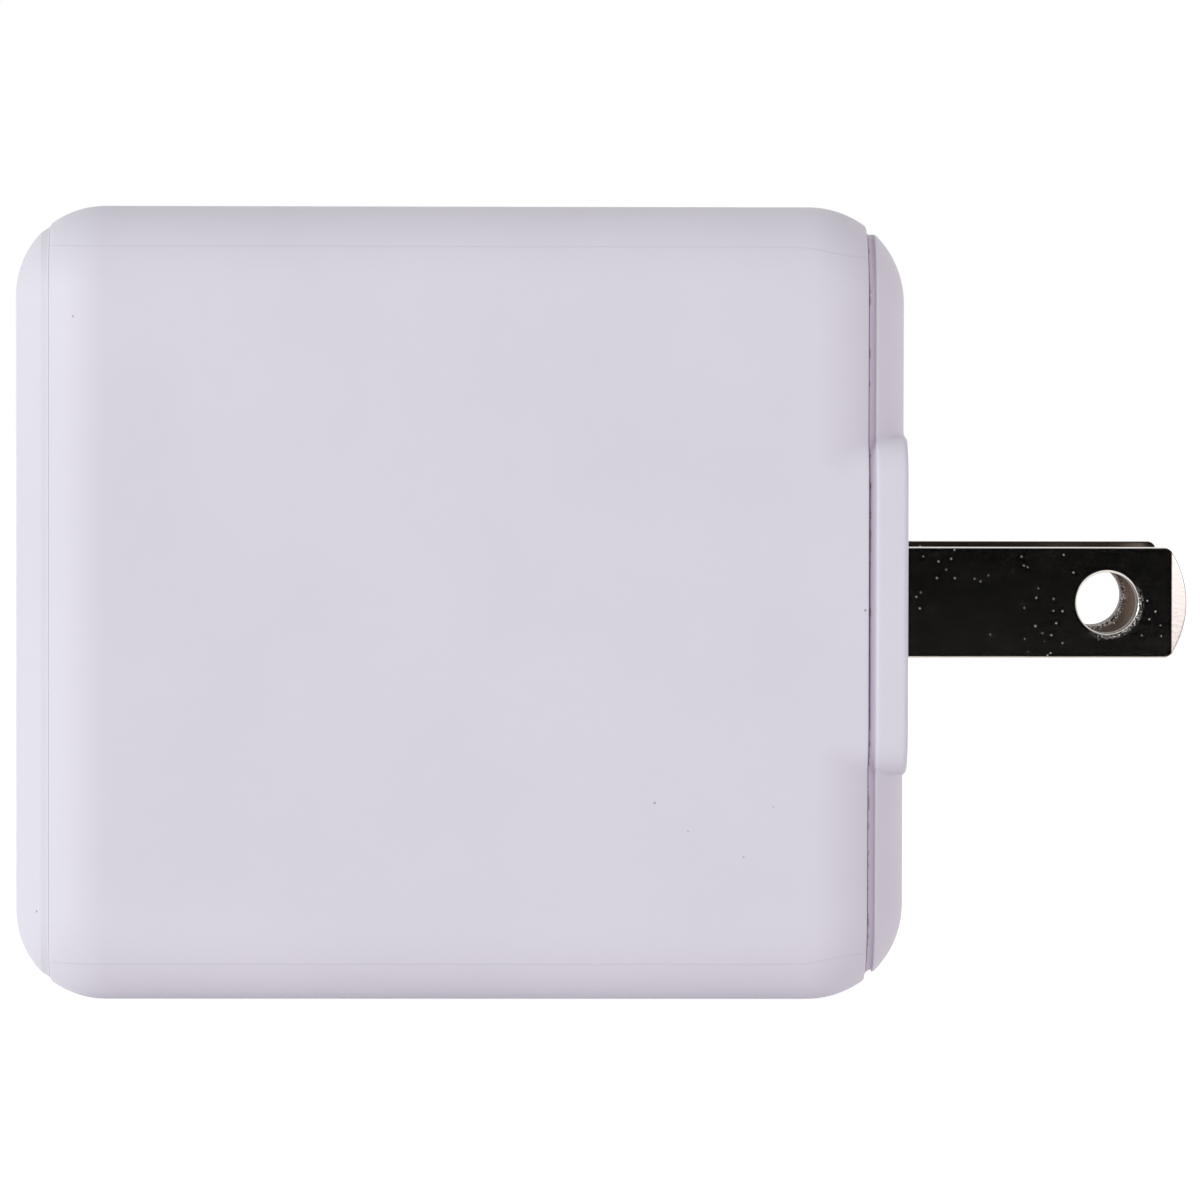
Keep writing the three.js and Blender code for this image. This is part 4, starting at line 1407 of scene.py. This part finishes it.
@dataclass(frozen=True)
class Camera:
    """The camera, placed by one pixel of the picture and the direction in which depth runs away."""

    frame: float = 1200.0
    distance: float = 0.560
    scale: float = 17.38 / MM
    anchor: Triple = (HOLE_PLACE, -7.11 * MM, 0.0)
    anchor_pixel: tuple[float, float] = (1107.2, 603.0)
    tilt: float = 2.05
    turn: float = 1.3
    roll: float = 0.12
    sensor: float = 36.0
    clip: tuple[float, float] = (0.01, 20.0)

    def build(self) -> None:
        """Makes the scene's camera."""
        tilt, turn, roll = (math.radians(value) for value in (self.tilt, self.turn, self.roll))
        ahead = Vector((math.sin(turn) * math.cos(tilt), math.cos(turn) * math.cos(tilt), -math.sin(tilt)))
        level = ahead.cross(Vector((0, 0, 1))).normalized()
        upright = level.cross(ahead).normalized()
        right = level * math.cos(roll) + upright * math.sin(roll)
        up = upright * math.cos(roll) - level * math.sin(roll)
        across = (self.anchor_pixel[0] - self.frame / 2) / self.scale
        upward = (self.frame / 2 - self.anchor_pixel[1]) / self.scale
        data = bpy.data.cameras.new("camera")
        data.sensor_width = self.sensor
        data.lens = self.scale * self.distance / self.frame * self.sensor
        data.clip_start, data.clip_end = self.clip
        turned = Matrix((right, up, -ahead)).transposed().to_4x4()
        turned.translation = Vector(self.anchor) - ahead * self.distance - right * across - up * upward
        made = add_object("camera", data)
        made.matrix_world = turned
        bpy.context.scene.camera = made


@dataclass(frozen=True)
class Lamp:
    """A soft square lamp, aimed at the housing's middle."""

    name: str
    place: Triple
    size: float
    power: float
    colour: Triple
    target: Triple = (-25.6 * MM, 0.0, 0.0)

    def build(self) -> None:
        """Makes the lamp."""
        data = bpy.data.lights.new(self.name, "AREA")
        data.shape = "SQUARE"
        data.size = self.size
        data.energy = self.power
        data.color = self.colour
        made = add_object(self.name, data)
        made.location = self.place
        made.rotation_euler = (Vector(self.target) - Vector(self.place)).to_track_quat("-Z", "Y").to_euler()


@dataclass(frozen=True)
class FloorWhite(Finish):
    """The floor: white where it is seen, apart from the object's shadow, and pale where it lights."""

    shown_glow: float = 0.82
    shown_matte: Colour = (0.55, 0.55, 0.55, 1.0)
    faint_colour: Colour = (1.0, 0.975, 0.985, 1.0)
    faint_glow: float = 0.2
    pale_matte: Colour = (0.8, 0.775, 0.785, 1.0)

    def surface(self, graph: Graph) -> Signal:
        """Makes the floor's shader.

        Args:
            graph: The material's node graph.

        Returns:
            The shader.
        """
        shown = self.lit(graph, self.colour, self.shown_glow, self.shown_matte)
        plain = self.lit(graph, self.faint_colour, self.faint_glow, self.pale_matte)
        return graph.signal("ShaderNodeMixShader", {0: graph.seen(), 1: plain, 2: shown})

    def lit(self, graph: Graph, glow: Colour, strength: float, matte: Colour) -> Signal:
        """Makes a matte surface with some light of its own.

        Args:
            graph: The floor's node graph.
            glow: Colour of its own light.
            strength: Strength of its own light.
            matte: The surface's colour.

        Returns:
            The shader.
        """
        own = graph.signal("ShaderNodeEmission", {"Color": glow, "Strength": strength})
        diffuse = graph.signal("ShaderNodeBsdfDiffuse", {"Color": matte})
        return graph.signal("ShaderNodeAddShader", {0: own, 1: diffuse})


@dataclass(frozen=True)
class DarkCard(Finish):
    """A black card, which flat metal mirrors."""

    def surface(self, graph: Graph) -> Signal:
        """Returns the card's shader."""
        return graph.signal("ShaderNodeEmission", {"Color": self.colour, "Strength": 0.0})


@dataclass(frozen=True)
class Studio:
    """White surroundings, a pale floor that keeps the shadow, dark cards and soft lamps."""

    floor_height: float = -22.72 * MM
    floor_half: float = 1.6
    floor_finish: Finish = FloorWhite("floor_white", WHITE)
    card_half: float = 0.34
    card_place: Triple = (0.0, -0.72, 0.02)
    cloth_half: float = 0.31
    cloth_place: Triple = (0.0, -0.44, -22.62 * MM)
    card_finish: Finish = DarkCard("card_dark", BLACK)
    world_level: float = 1.035
    overhead_loss: float = 0.62
    left_tint: Colour = (0.975, 1.0, 1.0, 1.0)
    right_tint: Colour = (1.0, 0.875, 0.935, 1.0)
    lamps: tuple[Lamp, ...] = (
        Lamp("key", (-1.0, -0.70, 0.04), 0.7, 9.6, (0.985, 1.0, 1.0)),
        Lamp("fill", (1.05, -0.95, 0.02), 0.7, 1.9, (1.0, 0.88, 0.94)),
    )

    def build(self) -> None:
        """Makes the world, the floor, the dark cards and the lamps."""
        self.world()
        floor_place = Matrix.Translation((0, 0, self.floor_height))
        self.sheet("floor", self.floor_half, floor_place, self.floor_finish)
        upright = Matrix.Translation(self.card_place) @ Matrix.Rotation(math.pi / 2, 4, "X")
        flat = Matrix.Translation(self.cloth_place)
        cards = (("dark_card", self.card_half, upright), ("dark_cloth", self.cloth_half, flat))
        for name, half, place in cards:
            card = self.sheet(name, half, place, self.card_finish)
            card.visible_camera = card.visible_diffuse = card.visible_shadow = False
        for lamp in self.lamps:
            lamp.build()

    def sheet(self, name: str, half: float, place: Matrix, finish: Finish) -> bpy.types.Object:
        """Makes a square sheet that is part of the studio.

        Args:
            name: Its name.
            half: Half of its side.
            place: Its place.
            finish: Its finish.

        Returns:
            The sheet.
        """
        mesh = bmesh.new()
        bmesh.ops.create_grid(mesh, x_segments=1, y_segments=1, size=half, matrix=place)
        data = bpy.data.meshes.new(name)
        mesh.to_mesh(data)
        mesh.free()
        data.materials.append(finish.material())
        made = add_object(name, data)
        return made

    def world(self) -> None:
        """Makes the world: white where it is seen, plain where it lights."""
        made = bpy.data.worlds.new("studio")
        bpy.context.scene.world = made
        made.use_nodes = True
        graph = Graph(made.node_tree)
        shown = graph.signal("ShaderNodeBackground", {"Color": WHITE, "Strength": 1.0})
        x, _, z = graph.split(graph.signal("ShaderNodeTexCoord", output="Generated"))
        level = self.world_level * (1 - self.overhead_loss * graph.maths("MAXIMUM", z, 0.0))
        tint = graph.blend(x.ramp(-0.2, 1.0), self.left_tint, self.right_tint)
        light = graph.signal("ShaderNodeBackground", {"Color": tint, "Strength": level})
        surface = graph.signal("ShaderNodeMixShader", {0: graph.seen(), 1: light, 2: shown})
        graph.node("ShaderNodeOutputWorld", {"Surface": surface})


def main() -> None:
    """Builds the charger's looks and the studio."""
    logging.basicConfig(level=logging.INFO, format="%(name)s: %(message)s")
    bpy.context.scene.view_settings.view_transform = "Standard"
    Housing().build()
    nickel = BladeMetal("blade_nickel", shade(226, 220, 213), 0.11, 0.05, 0.55, 1500.0)
    for place, side in (("near", -1.0), ("far", 1.0)):
        Blade(f"plug_blade_{place}", f"blade_{place}", side, nickel).build()
    Port().build()
    Electronics().build(frame["nodes"])
    Studio().build()
    Camera().build()


if __name__ == "__main__":
    main()
